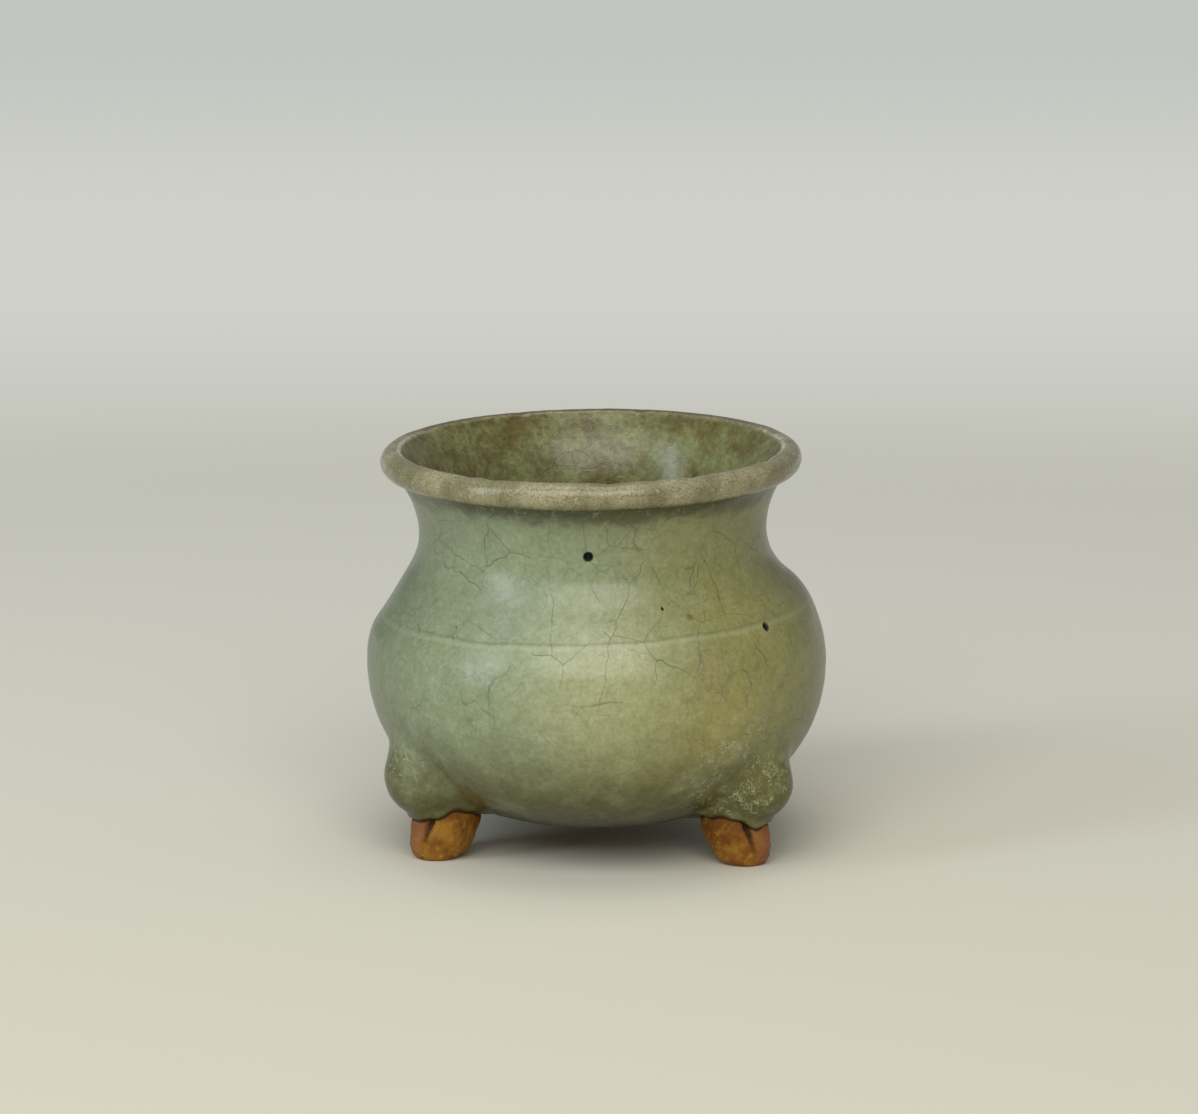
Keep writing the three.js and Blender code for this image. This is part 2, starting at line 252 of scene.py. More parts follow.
def put_node(tree, kind, inputs=None, **settings):
    """One shader node. Settings are its own properties; inputs are sockets, each with a value or a link."""
    node = tree.nodes.new("ShaderNode" + kind)
    for name, value in settings.items():
        setattr(node, name, value)
    for name, value in (inputs or {}).items():
        if isinstance(value, bpy.types.NodeSocket):
            tree.links.new(value, node.inputs[name])
        else:
            node.inputs[name].default_value = value
    return node


def worked(tree, operation, first, second=0.0, third=0.0):
    """A sum, a product or the like of up to three values."""
    return put_node(tree, "Math", {0: first, 1: second, 2: third}, operation=operation).outputs[0]


def mixed(tree, share, first, second, manner="MIX"):
    """Two colours mixed by a share of the second, or multiplied where the manner says so."""
    inputs = {0: share, 6: first, 7: second}
    return put_node(tree, "Mix", inputs, data_type="RGBA", blend_type=manner).outputs[2]


def tinted(tree, colour, tint, mask, share=1.0):
    """A colour with a tint laid over it where the mask is 1, as strongly as the share says."""
    if share != 1.0:
        mask = worked(tree, "MULTIPLY", mask, share)
    return mixed(tree, mask, colour, tint)


def fading(tree, value, start, end):
    """A soft step from 0 at start to 1 at end; start may be the larger."""
    inputs = {"Value": value, "From Min": start, "From Max": end}
    return put_node(tree, "MapRange", inputs, interpolation_type="SMOOTHSTEP").outputs["Result"]


MOTTLE_RANGE = (0.3, 0.7)


def mottled(tree, colour, noise, dark, bright):
    """A colour times a shade that runs from dark to bright as the noise rises about its mean."""
    shade = mixed(tree, fading(tree, noise, *MOTTLE_RANGE), dark, bright)
    return mixed(tree, 1.0, colour, shade, "MULTIPLY")


def moved(tree, operation, first, second):
    """Two vectors added, subtracted or multiplied."""
    return put_node(tree, "VectorMath", {0: first, 1: second}, operation=operation).outputs[0]


def enlarged(tree, vector, factor):
    """A vector times a number."""
    return put_node(tree, "VectorMath", {0: vector, "Scale": factor}, operation="SCALE").outputs[0]


def cloud(tree, place, size, detail=3.0, roughness=0.55):
    """Noise from 0 to 1 with lumps about size millimetres across."""
    inputs = {"Vector": place, "Scale": 1 / size, "Detail": detail, "Roughness": roughness}
    return put_node(tree, "TexNoise", inputs)


def shader_group(name, inputs, outputs):
    """An empty group of shader nodes: inputs as (name, kind of socket, usual value), outputs as names."""
    group = bpy.data.node_groups.new(name, "ShaderNodeTree")
    for label, kind, usual in inputs:
        socket = group.interface.new_socket(label, in_out="INPUT", socket_type="NodeSocket" + kind)
        socket.default_value = usual
    for label in outputs:
        group.interface.new_socket(label, in_out="OUTPUT", socket_type="NodeSocketFloat")
    return group, group.nodes.new("NodeGroupInput").outputs, group.nodes.new("NodeGroupOutput").inputs


BEND_SIZE = 22.0
BEND_REACH = 12.0
RIPPLE_SIZE = 4.0
RIPPLE_REACH = 2.2
CELL_SQUEEZE = (1.0, 1.0, 0.75)
HELD_SIZE = 9.0
HELD_EDGE = 0.2


def bent_by(group, place, size, detail, reach):
    """How far noise with lumps of a size pushes each place aside."""
    noise = cloud(group, place, size, detail).outputs["Color"]
    return enlarged(group, moved(group, "SUBTRACT", noise, (0.5, 0.5, 0.5)), reach)


def crackle_group():
    """Crackle: fine cracks between the cells of a bent cell pattern, broken off where the glaze held."""
    group, given, result = shader_group("crackle", [
        ("Place", "Vector", (0, 0, 0)), ("Cell", "Float", 8.0), ("Width", "Float", 0.1),
        ("Held", "Float", 0.5)], ["Cracks"])
    bend = bent_by(group, given["Place"], BEND_SIZE, 0.0, BEND_REACH)
    ripple = bent_by(group, given["Place"], RIPPLE_SIZE, 1.0, RIPPLE_REACH)
    bent = moved(group, "ADD", moved(group, "ADD", given["Place"], bend), ripple)
    bent = moved(group, "MULTIPLY", bent, CELL_SQUEEZE)
    cells = enlarged(group, bent, worked(group, "DIVIDE", 1.0, given["Cell"]))
    edges = put_node(group, "TexVoronoi", {"Vector": cells, "Scale": 1.0}, feature="DISTANCE_TO_EDGE")
    distance = worked(group, "MULTIPLY", edges.outputs["Distance"], given["Cell"])
    line = fading(group, distance, given["Width"], 0.0)
    held = cloud(group, given["Place"], HELD_SIZE, 2.0).outputs["Fac"]
    broken = fading(group, held, given["Held"], worked(group, "ADD", given["Held"], HELD_EDGE))
    group.links.new(worked(group, "MULTIPLY", line, broken), result["Cracks"])
    return group


def spot_group():
    """A ragged round patch: 1 within the radius of a centre and 0 outside, its edge worn by noise."""
    group, given, result = shader_group("spot", [
        ("Place", "Vector", (0, 0, 0)), ("Centre", "Vector", (0, 0, 0)), ("Radius", "Float", 5.0),
        ("Softness", "Float", 1.0), ("Raggedness", "Float", 1.0)], ["Mask"])
    away = put_node(group, "VectorMath", {0: given["Place"], 1: given["Centre"]}, operation="DISTANCE")
    lumps = cloud(group, given["Place"], 4.0, 4.0, 0.65).outputs["Fac"]
    lumps = worked(group, "MULTIPLY", worked(group, "SUBTRACT", lumps, 0.5), given["Raggedness"])
    reach = worked(group, "ADD", away.outputs["Value"], lumps)
    outer = worked(group, "ADD", given["Radius"], given["Softness"])
    inner = worked(group, "SUBTRACT", given["Radius"], given["Softness"])
    group.links.new(fading(group, reach, outer, inner), result["Mask"])
    return group


# Each kind of stroke: where its noise is read, and its half width on the noise's scale.
VEIN_STROKES = (((0.0, 0.0, 0.0), 0.018), ((31.0, 17.0, 5.0), 0.013))
VEIN_CORE = 0.2
CLUMP_SIZE = 2.4
CLUMP_LEVEL = 0.74
CLUMP_SPREAD = 0.31
CLUMP_EDGE = 0.16


def veining_group():
    """Pale veins and scratches where the glaze boiled and dried: thin strokes along the middle level of
    two rough noises, kept only in clumps."""
    group, given, result = shader_group("veining", [
        ("Place", "Vector", (0, 0, 0)), ("Size", "Float", 3.0), ("Amount", "Float", 0.5)], ["Veins"])
    size = worked(group, "DIVIDE", 1.0, given["Size"])
    strokes = 0.0
    for shift, width in VEIN_STROKES:
        stroke_place = enlarged(group, moved(group, "ADD", given["Place"], shift), size)
        noise = cloud(group, stroke_place, 1.0, 5.0, 0.68).outputs["Fac"]
        level = worked(group, "ABSOLUTE", worked(group, "SUBTRACT", noise, 0.5))
        strokes = worked(group, "MAXIMUM", strokes, fading(group, level, width, width * VEIN_CORE))
    clumps = cloud(group, given["Place"], CLUMP_SIZE, 4.0, 0.7).outputs["Fac"]
    spread = worked(group, "MULTIPLY", given["Amount"], CLUMP_SPREAD)
    start = worked(group, "SUBTRACT", CLUMP_LEVEL, spread)
    kept = fading(group, clumps, start, worked(group, "ADD", start, CLUMP_EDGE))
    group.links.new(worked(group, "MULTIPLY", strokes, kept), result["Veins"])
    return group


crackle = crackle_group()
spot = spot_group()
veining = veining_group()


def start_finish(name):
    """A new material with its shader and the place on the piece in millimetres."""
    material = bpy.data.materials.new(name)
    material.use_nodes = True
    tree = material.node_tree
    shader = tree.nodes["Principled BSDF"]
    place = put_node(tree, "TexCoord").outputs["Object"]
    return material, tree, shader, enlarged(tree, place, 1 / MILLIMETRE)


def put_spot(tree, place, patch):
    """The mask of a ragged patch, given by its centre, radius, softness and raggedness."""
    return put_node(tree, "Group", {"Place": place, **patch}, node_tree=spot).outputs["Mask"]


def put_crackle(tree, place, pattern):
    """The cracks of a pattern, given by the size of its cells, their width and how much glaze held."""
    return put_node(tree, "Group", {"Place": place, **pattern}, node_tree=crackle).outputs["Cracks"]


def put_relief(tree, shader, height):
    """The finish's fine relief, its height in millimetres."""
    bump = put_node(tree, "Bump", {"Height": height, "Strength": 1.0, "Distance": MILLIMETRE})
    tree.links.new(bump.outputs["Normal"], shader.inputs["Normal"])


SEA_GREEN = paint(140, 151, 124)
OLIVE = paint(146, 143, 90)
# Dark olive of the low belly and knees, partly painted shade; also the olive stain's colour.
LOW_OLIVE_AND_SHADE = paint(84, 79, 26)
YELLOW_OLIVE = paint(174, 164, 98)
MILKY = paint(172, 179, 150)
# A pale painted highlight on the front of the belly.
PAINTED_HIGHLIGHT_PALE = paint(184, 186, 148)
CRACK_GREEN = paint(74, 88, 68)
PALE_VEIN = paint(196, 200, 164)
PINK_DUST = paint(156, 136, 110)
PINHOLE_PIT_SHADE = paint(8, 7, 6)
PAINTED_EDGE_SHADE = (0.52, 0.54, 0.46, 1)
CREASE_DIRT_AND_SHADE = paint(62, 58, 38)
INSIDE_GREEN = paint(126, 130, 86)
INSIDE_BROWN = paint(98, 88, 46)

# Patches of the glaze and a painted highlight on the front of the belly: tint, how strongly it covers, and
# where.
GLAZE_PATCHES_AND_HIGHLIGHT = (
    (PAINTED_HIGHLIGHT_PALE, 0.5, {"Centre": (1.0, -47.0, 43.0), "Radius": 15.0, "Softness": 12.0, "Raggedness": 14.0}),
    (YELLOW_OLIVE, 0.4, {"Centre": (25.0, -39.0, 35.0), "Radius": 7.0, "Softness": 6.0, "Raggedness": 16.0}),
    (PINK_DUST, 0.35, {"Centre": (22.0, -40.0, 44.0), "Radius": 4.0, "Softness": 3.5, "Raggedness": 6.0}),
)
RIGHT_KNEE_VEINS = {"Centre": (28.0, -31.0, 24.0), "Radius": 17.0, "Softness": 8.0, "Raggedness": 10.0}
LEFT_KNEE_VEINS = {"Centre": (-38.0, -19.0, 22.0), "Radius": 9.0, "Softness": 4.0, "Raggedness": 6.0}
OLIVE_STAIN = {"Centre": (19.0, -36.6, 55.9), "Radius": 0.7, "Softness": 0.5, "Raggedness": 0.8}
WIDE_CRACKLE = {"Cell": 11.0, "Width": 0.13, "Held": 0.34}
CLOSE_CRACKLE = {"Cell": 6.0, "Width": 0.12, "Held": 0.42}
CLOSE_CRACKLE_SHIFT = (40.0, 7.0, 19.0)
VEIN_SIZE = 4.4
# Where one colour gives way to the next, in millimetres across or up the pot, and how far noise moves it.
OLIVE_SIDE = (-18.0, 34.0)
OLIVE_DRIFT = 46.0
OLIVE_FALL = -0.35
LOW_TONE_AND_SHADE_BAND = (45.0, 19.0)
LOW_TONE_AND_SHADE_DRIFT = 16.0
CRACKED_BAND = (24.0, 52.0)
DIRT_AND_SHADE_BAND = (78.0, 81.5)
DIRT_AND_SHADE_DRIFT = 8.0
LINE_WIDTHS = (0.45, 0.05)
LINE_ENDS = (44.0, 30.0)
LINE_DRIFT = 1.5
PALE_BAND_DROP = 0.9
PALE_BAND_WIDTHS = (0.7, 0.1)


def celadon_ground(tree, place, axes, broad, middle, fine):
    """The glaze's colour: sea-green, olive to the right and low down, darker there partly as painted shade,
    milky clouds and patches, and a painted highlight.
    """
    across = worked(tree, "MULTIPLY_ADD", axes["Z"], OLIVE_FALL, axes["X"])
    across = worked(tree, "MULTIPLY_ADD", broad, OLIVE_DRIFT, across)
    colour = mixed(tree, fading(tree, across, *OLIVE_SIDE), SEA_GREEN, OLIVE)
    # Darker olive low down: partly the glaze's own tone, partly painted shade under the belly.
    low = fading(tree, worked(tree, "MULTIPLY_ADD", middle, LOW_TONE_AND_SHADE_DRIFT, axes["Z"]), *LOW_TONE_AND_SHADE_BAND)
    colour = tinted(tree, colour, LOW_OLIVE_AND_SHADE, low, 0.92)
    colour = tinted(tree, colour, MILKY, fading(tree, middle, 0.45, 0.85), 0.4)
    for tint, share, patch in GLAZE_PATCHES_AND_HIGHLIGHT:
        colour = tinted(tree, colour, tint, put_spot(tree, place, patch), share)
    colour = mottled(tree, colour, fine, (0.84, 0.85, 0.8, 1), (1.08, 1.08, 1.08, 1))
    clouding = cloud(tree, place, 2.6, 4.0, 0.7).outputs["Fac"]
    return mottled(tree, colour, clouding, (0.88, 0.9, 0.82, 1), (1.08, 1.06, 1.06, 1))


def crackle_outside(tree, place, axes):
    """Two sizes of crackle, plain on the neck and shoulder and faint low down."""
    wide = put_crackle(tree, place, WIDE_CRACKLE)
    close = put_crackle(tree, moved(tree, "ADD", place, CLOSE_CRACKLE_SHIFT), CLOSE_CRACKLE)
    cracks = worked(tree, "MAXIMUM", wide, worked(tree, "MULTIPLY", close, 0.6))
    upper = fading(tree, axes["Z"], *CRACKED_BAND)
    return worked(tree, "MULTIPLY", cracks, worked(tree, "MULTIPLY_ADD", upper, 0.52, 0.2))


def joint_traces(tree, axes, broad):
    """The luted joint seen through the glaze: a thin line that dies out at the sides, and a pale band."""
    joint = worked(tree, "MULTIPLY_ADD", axes["X"], -JOINT_TILT, axes["Z"])
    joint = worked(tree, "SUBTRACT", joint, JOINT_HEIGHT)
    joint = worked(tree, "MULTIPLY_ADD", worked(tree, "SUBTRACT", broad, 0.5), LINE_DRIFT, joint)
    line = fading(tree, worked(tree, "ABSOLUTE", joint), *LINE_WIDTHS)
    line = worked(tree, "MULTIPLY", line, fading(tree, worked(tree, "ABSOLUTE", axes["X"]), *LINE_ENDS))
    under = worked(tree, "ABSOLUTE", worked(tree, "ADD", joint, PALE_BAND_DROP))
    return line, fading(tree, under, *PALE_BAND_WIDTHS)


def veins_outside(tree, place, dirt_and_shade):
    """Pale veins, thick on the two front knees and in the dirt and painted shade under the lip, sparse
    elsewhere.
    """
    right_knee = put_spot(tree, place, RIGHT_KNEE_VEINS)
    left_knee = put_spot(tree, place, LEFT_KNEE_VEINS)
    amount = worked(tree, "MAXIMUM", right_knee, left_knee)
    amount = worked(tree, "MAXIMUM", amount, worked(tree, "MULTIPLY", dirt_and_shade, 0.7))
    veins = {"Place": place, "Size": VEIN_SIZE, "Amount": amount}
    veins = put_node(tree, "Group", veins, node_tree=veining).outputs["Veins"]
    return worked(tree, "MULTIPLY", veins, worked(tree, "MULTIPLY_ADD", amount, 0.8, 0.14))


def glaze_outside():
    """Celadon on the outside: its ground, crackle, the wandering joint, dirt and painted shade under the
    lip, pale veins over the knees, painted shade towards the silhouette, and the pits of the pinholes
    painted dark as shade."""
    material, tree, shader, place = start_finish("celadon_glaze")
    axes = put_node(tree, "SeparateXYZ", {0: place}).outputs
    broad = cloud(tree, place, 24.0, 4.0, 0.6).outputs["Fac"]
    middle = cloud(tree, place, 6.0, 5.0, 0.65).outputs["Fac"]
    fine = cloud(tree, place, 0.9, 3.0, 0.7).outputs["Fac"]
    colour = celadon_ground(tree, place, axes, broad, middle, fine)
    cracks = crackle_outside(tree, place, axes)
    colour = tinted(tree, colour, CRACK_GREEN, cracks)
    line, pale = joint_traces(tree, axes, broad)
    colour = tinted(tree, colour, CRACK_GREEN, line, 0.26)
    colour = tinted(tree, colour, PALE_VEIN, pale, 0.16)
    # Dirt and painted shade in the crease just under the lip's roll.
    dirt_and_shade = fading(tree, worked(tree, "MULTIPLY_ADD", middle, DIRT_AND_SHADE_DRIFT, axes["Z"]), *DIRT_AND_SHADE_BAND)
    colour = tinted(tree, colour, CREASE_DIRT_AND_SHADE, dirt_and_shade, 0.75)
    veins = veins_outside(tree, place, dirt_and_shade)
    colour = tinted(tree, colour, PALE_VEIN, veins)
    colour = tinted(tree, colour, LOW_OLIVE_AND_SHADE, put_spot(tree, place, OLIVE_STAIN), 0.55)
    # Painted shade towards the silhouette, where the surface turns away from the eye.
    painted_edge_shade_facing = put_node(tree, "LayerWeight", {"Blend": 0.5}).outputs["Facing"]
    shade = mixed(tree, fading(tree, painted_edge_shade_facing, 0.25, 1.0), (1, 1, 1, 1), PAINTED_EDGE_SHADE)
    colour = mixed(tree, 1.0, colour, shade, "MULTIPLY")
    # The pinholes' pits painted near black as shade.
    burst = put_node(tree, "Attribute", attribute_name="pinhole").outputs["Fac"]
    tree.links.new(tinted(tree, colour, PINHOLE_PIT_SHADE, burst), shader.inputs["Base Color"])
    rough = worked(tree, "MULTIPLY_ADD", middle, 0.16, 0.2)
    rough = worked(tree, "MULTIPLY_ADD", veins, 0.3, rough)
    tree.links.new(worked(tree, "MULTIPLY_ADD", burst, 0.4, rough), shader.inputs["Roughness"])
    height = worked(tree, "MULTIPLY_ADD", fine, 0.012, worked(tree, "MULTIPLY", middle, 0.12))
    for mark, rise in ((cracks, -0.03), (line, -0.02), (veins, 0.05)):
        height = worked(tree, "MULTIPLY_ADD", mark, rise, height)
    put_relief(tree, shader, height)
    return material


INSIDE_CRACKLE = {"Cell": 4.0, "Width": 0.12, "Held": 0.45}
DEEP_SHADE_BAND = (70.0, 30.0)


def stained_ground(tree, place):
    """Brown-green glaze of the hollow in ragged clouds, with the two noises that it comes from."""
    broad = cloud(tree, place, 12.0, 6.0, 0.72).outputs["Fac"]
    fine = cloud(tree, place, 1.4, 4.0, 0.75).outputs["Fac"]
    colour = mixed(tree, fading(tree, broad, 0.38, 0.62), INSIDE_BROWN, INSIDE_GREEN)
    return mottled(tree, colour, fine, (0.66, 0.66, 0.6, 1), (1.2, 1.2, 1.16, 1)), broad, fine


def glaze_inside():
    """Celadon in the hollow: thin, brown-green and stained, with painted shade darker towards the bottom,
    closely crackled.
    """
    material, tree, shader, place = start_finish("celadon_inside")
    axes = put_node(tree, "SeparateXYZ", {0: place}).outputs
    colour, broad, fine = stained_ground(tree, place)
    # Painted shade, darker deeper in the hollow.
    colour = tinted(tree, colour, INSIDE_BROWN, fading(tree, axes["Z"], *DEEP_SHADE_BAND), 0.5)
    cracks = put_crackle(tree, place, INSIDE_CRACKLE)
    tree.links.new(tinted(tree, colour, CRACK_GREEN, cracks, 0.3), shader.inputs["Base Color"])
    tree.links.new(worked(tree, "MULTIPLY_ADD", broad, 0.3, 0.08), shader.inputs["Roughness"])
    height = worked(tree, "MULTIPLY_ADD", fine, 0.05, worked(tree, "MULTIPLY", cracks, -0.02))
    put_relief(tree, shader, height)
    return material


OCHRE = paint(154, 106, 26)
BURNT_ORANGE = paint(124, 72, 14)
YELLOW_CLAY = paint(186, 146, 52)
PINK_CLAY = paint(142, 92, 60)
BURNT_PURPLE = paint(52, 28, 18)


def bare_clay(name, cleft=False):
    """Bare stoneware, ochre to burnt orange, with yellow bloom, dark kiln burns, grain, and small pits
    painted dark as shade.
    On the toes a dark band under the glaze edge is partly burn and partly painted shade under the overhang,
    and the clefts, which the mesh marks, get painted shade."""
    material, tree, shader, place = start_finish(name)
    broad = cloud(tree, place, 5.5, 4.0, 0.6).outputs["Fac"]
    middle = cloud(tree, place, 1.7, 5.0, 0.7).outputs["Fac"]
    grain = cloud(tree, place, 0.35, 3.0, 0.7).outputs["Fac"]
    colour = mixed(tree, fading(tree, broad, 0.4, 0.62), OCHRE, BURNT_ORANGE)
    colour = tinted(tree, colour, YELLOW_CLAY, fading(tree, middle, 0.5, 0.7), 0.6)
    burns = fading(tree, worked(tree, "ADD", middle, worked(tree, "MULTIPLY", broad, 0.5)), 0.62, 0.5)
    colour = tinted(tree, colour, BURNT_PURPLE, burns, 0.75)
    if cleft:
        edge = put_node(tree, "Attribute", attribute_name="under_glaze").outputs["Fac"]
        groove = put_node(tree, "Attribute", attribute_name="cleft").outputs["Fac"]
        ridge = put_node(tree, "Attribute", attribute_name="ridge").outputs["Fac"]
        colour = tinted(tree, colour, PINK_CLAY, ridge, 0.6)
        # Dark band under the glaze edge, partly burn and partly painted shade under the overhang, and
        # painted shade in the clefts.
        ragged = worked(tree, "MULTIPLY_ADD", middle, 0.9, worked(tree, "MAXIMUM", edge, groove))
        colour = tinted(tree, colour, BURNT_PURPLE, fading(tree, ragged, 0.68, 1.2), 0.9)
    # Small pits painted dark as shade.
    pits = fading(tree, grain, 0.36, 0.26)
    colour = tinted(tree, colour, BURNT_PURPLE, pits, 0.6)
    shader.inputs["Specular IOR Level"].default_value = 0.3
    tree.links.new(colour, shader.inputs["Base Color"])
    tree.links.new(worked(tree, "MULTIPLY_ADD", middle, 0.25, 0.5), shader.inputs["Roughness"])
    height = worked(tree, "MULTIPLY_ADD", middle, 0.25, worked(tree, "MULTIPLY", grain, 0.06))
    put_relief(tree, shader, worked(tree, "MULTIPLY_ADD", pits, -0.08, height))
    return material


outside_finish = glaze_outside()
inside_finish = glaze_inside()
foot_finish = bare_clay("bare_foot")

foot_end = (FOOT_RADIUS, UNDERSIDE_HEIGHT)
belly_line = outline(foot_end, 90, (belly_radius, BELLY_HEIGHT), 0, BELLY_FULLNESS)
shoulder_line = outline((belly_radius, BELLY_HEIGHT), 0, (WAIST_RADIUS, WAIST_HEIGHT), 0, SHOULDER_FULLNESS)
inner_belly = (belly_radius - BELLY_WALL, BELLY_HEIGHT)
inner_waist = (WAIST_RADIUS - NECK_WALL, WAIST_HEIGHT)
inner_belly_line = outline((FLOOR_RADIUS, FLOOR_HEIGHT), 90, inner_belly, 0, BELLY_FULLNESS)
inner_shoulder_line = outline(inner_belly, 0, inner_waist, 0, SHOULDER_FULLNESS)

POLE_RADIUS = 0.4
TONGUE_START = 0.15
TONGUE_HEIGHT = 0.9
TONGUE_DEPTH = 0.25
RECESS_DEPTH = 1.0
SPONGE_PASSES = 2
BOWL_AROUND = 400
HOLE_CROWDING = 5.0
JOINT_RADIUS = 44
# Spacings of the rings of points along the bowl's outline.
FOOT_SPACING = 0.5
BELLY_SPACING = 0.6
SHOULDER_SPACING = 0.25
JOINT_SPACING = 0.7
INSIDE_SPACING = 1.3
# Places of the bowl's finishes in its list of materials.
GLAZED_OUTSIDE = 0
GLAZED_INSIDE = 1
BARE_FOOT = 2
foot_base = UNDERSIDE_HEIGHT - FOOT_DEPTH
recess_height = foot_base + RECESS_DEPTH
foot_line = evenly(np.array([
    (POLE_RADIUS, recess_height), (FOOT_RADIUS - FOOT_WIDTH - RECESS_DEPTH, recess_height),
    (FOOT_RADIUS - FOOT_WIDTH, foot_base), (FOOT_RADIUS - FOOT_DEPTH / 2, foot_base), foot_end,
]), FOOT_SPACING)
lower_outside = evenly(belly_line, BELLY_SPACING)
upper_outside = evenly(below(shoulder_line, JOINT_HEIGHT + TONGUE_HEIGHT), SHOULDER_SPACING)
tongue = soft_step(upper_outside[:, 1], JOINT_HEIGHT + TONGUE_START, JOINT_HEIGHT + TONGUE_HEIGHT)
upper_outside[:, 0] -= TONGUE_DEPTH * tongue
inner_top = below(inner_shoulder_line, JOINT_HEIGHT)
joint_edge = evenly(np.array([upper_outside[-1], inner_top[-1]]), JOINT_SPACING)
lower_inside = evenly(np.vstack([
    (POLE_RADIUS, FLOOR_HEIGHT), inner_belly_line, inner_top]), INSIDE_SPACING)[::-1]
bowl_profile = np.vstack([foot_line, lower_outside[1:], upper_outside[1:], joint_edge[1:], lower_inside[1:]])
bowl_profile = softened(bowl_profile, SPONGE_PASSES)

shoulder_hole_angle = -math.acos(PINHOLE_SHOULDER[0] / JOINT_RADIUS)
bowl_angles = crowded_angles(BOWL_AROUND, [shoulder_hole_angle], HOLE_CROWDING)
bowl_points, bowl_mark = turned(bowl_profile, bowl_angles, [PINHOLE_SHOULDER])
bowl_rings = len(bowl_profile)
bottom_pole = len(bowl_points)
bottom_cap = cap_faces(0, BOWL_AROUND, bottom_pole, False)
floor_cap = cap_faces((bowl_rings - 1) * BOWL_AROUND, BOWL_AROUND, bottom_pole + 1, True)
poles = hand_made(np.array([(0, 0, recess_height), (0, 0, FLOOR_HEIGHT)]))
bare_rings = len(foot_line) - 1
outside_rings = len(lower_outside) + len(upper_outside)
ring_finish = np.where(np.arange(bowl_rings - 1) < bare_rings, BARE_FOOT, GLAZED_INSIDE)
ring_finish[bare_rings:bare_rings + outside_rings] = GLAZED_OUTSIDE
bowl_finish = np.concatenate([
    np.repeat(ring_finish, BOWL_AROUND), np.full(BOWL_AROUND, BARE_FOOT),
    np.full(BOWL_AROUND, GLAZED_INSIDE)])
bowl = put_piece(
    "bowl_lower_half", np.vstack([bowl_points, poles]),
    [ring_faces(bowl_rings, BOWL_AROUND), bottom_cap, floor_cap],
    [outside_finish, inside_finish, foot_finish], bowl_finish, {"pinhole": np.append(bowl_mark, (0, 0))})
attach(bowl, "root")
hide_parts("lower_bowl")

# Upper body.
# The thrown shoulder and waisted neck, turned over and luted on the lower half. Its flare carries the lip,
# and glaze has run thin where it meets the roll.
FLARE_LEAN = 49
FLARE_FULLNESS = (0.31, 0.292)
ROLL_RADIUS = 2.9
LIP_OVERHANG = 7.7
ROLL_SEAT_SHARE = 0.92
CRISP_CORNER = 0.02
NECK_AROUND = 520
NECK_SPACING = 0.28
THROAT_SPACING = 1.0
NECK_TOP_SPACING = 0.5
NECK_BASE_SPACING = 0.25
roll_centre = np.array((WAIST_RADIUS + LIP_OVERHANG - ROLL_RADIUS, crest_height - ROLL_RADIUS))
crease = roll_centre - (0, ROLL_RADIUS * ROLL_SEAT_SHARE)
across_wall = np.radians(FLARE_LEAN - 90)
throat = crease + NECK_WALL * np.array([np.sin(across_wall), np.cos(across_wall)])


def above(points, height):
    """The part of a climbing outline from a height on, starting exactly there."""
    kept = points[points[:, 1] > height]
    return np.vstack([[np.interp(height, points[:, 1], points[:, 0]), height], kept])


def closed_softened(points, passes):
    """As softened, for an outline that closes on itself."""
    for _ in range(passes):
        points = (np.roll(points, 1, axis=0) + 2 * points + np.roll(points, -1, axis=0)) / 4
    return points


flare_line = outline((WAIST_RADIUS, WAIST_HEIGHT), 0, crease, FLARE_LEAN, FLARE_FULLNESS)
inner_flare_line = outline(inner_waist, 0, throat, FLARE_LEAN, FLARE_FULLNESS)
neck_outside = evenly(np.vstack([above(shoulder_line, JOINT_HEIGHT), flare_line[1:]]), NECK_SPACING)
corner = above(shoulder_line, JOINT_HEIGHT + CRISP_CORNER)[:1]
neck_outside = np.vstack([neck_outside[:1], corner, neck_outside[1:]])
neck_inside = np.vstack([above(inner_shoulder_line, JOINT_HEIGHT), inner_flare_line[1:]])
neck_inside = evenly(neck_inside, THROAT_SPACING)[::-1]
neck_top = evenly(np.array([neck_outside[-1], neck_inside[0]]), NECK_TOP_SPACING)
neck_base = evenly(np.array([neck_inside[-1], neck_outside[0]]), NECK_BASE_SPACING)
neck_profile = np.vstack([neck_outside, neck_top[1:], neck_inside[1:], neck_base[1:-1]])
neck_holes = [PINHOLE_NECK, PINHOLE_SMALL]
neck_hole_angles = [-math.acos(across / WAIST_RADIUS) for across, up, radius in neck_holes]
neck_angles = crowded_angles(NECK_AROUND, neck_hole_angles, HOLE_CROWDING)
neck_points, neck_mark = turned(neck_profile, neck_angles, neck_holes)
neck_finish = np.full(len(neck_profile), GLAZED_INSIDE)
neck_finish[:len(neck_outside)] = GLAZED_OUTSIDE
neck = put_piece(
    "shoulder_and_neck", neck_points, [ring_faces(len(neck_profile), NECK_AROUND, closed=True)],
    [outside_finish, inside_finish], np.repeat(neck_finish, NECK_AROUND), {"pinhole": neck_mark})
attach(neck, "root")
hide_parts("upper_body")

# Rolled lip.
# A round roll of clay turned out over the neck. Glaze ran off it, so that the tan body shows through,
# speckled, with a whitish line along the inner crest, small chips, and dirt and painted shade in the crease
# below.
SEAT_OVERLAP = 0.5
THROAT_REACH = 4.5
THROAT_SINK = 0.03
THROAT_LEAN = 34
ROLL_START = -74
ROLL_END = 118
LIP_TAN = paint(160, 154, 122)
LIP_GREY = paint(126, 121, 88)
LIP_SPECK = paint(82, 73, 44)
LIP_PALE = paint(206, 204, 178)

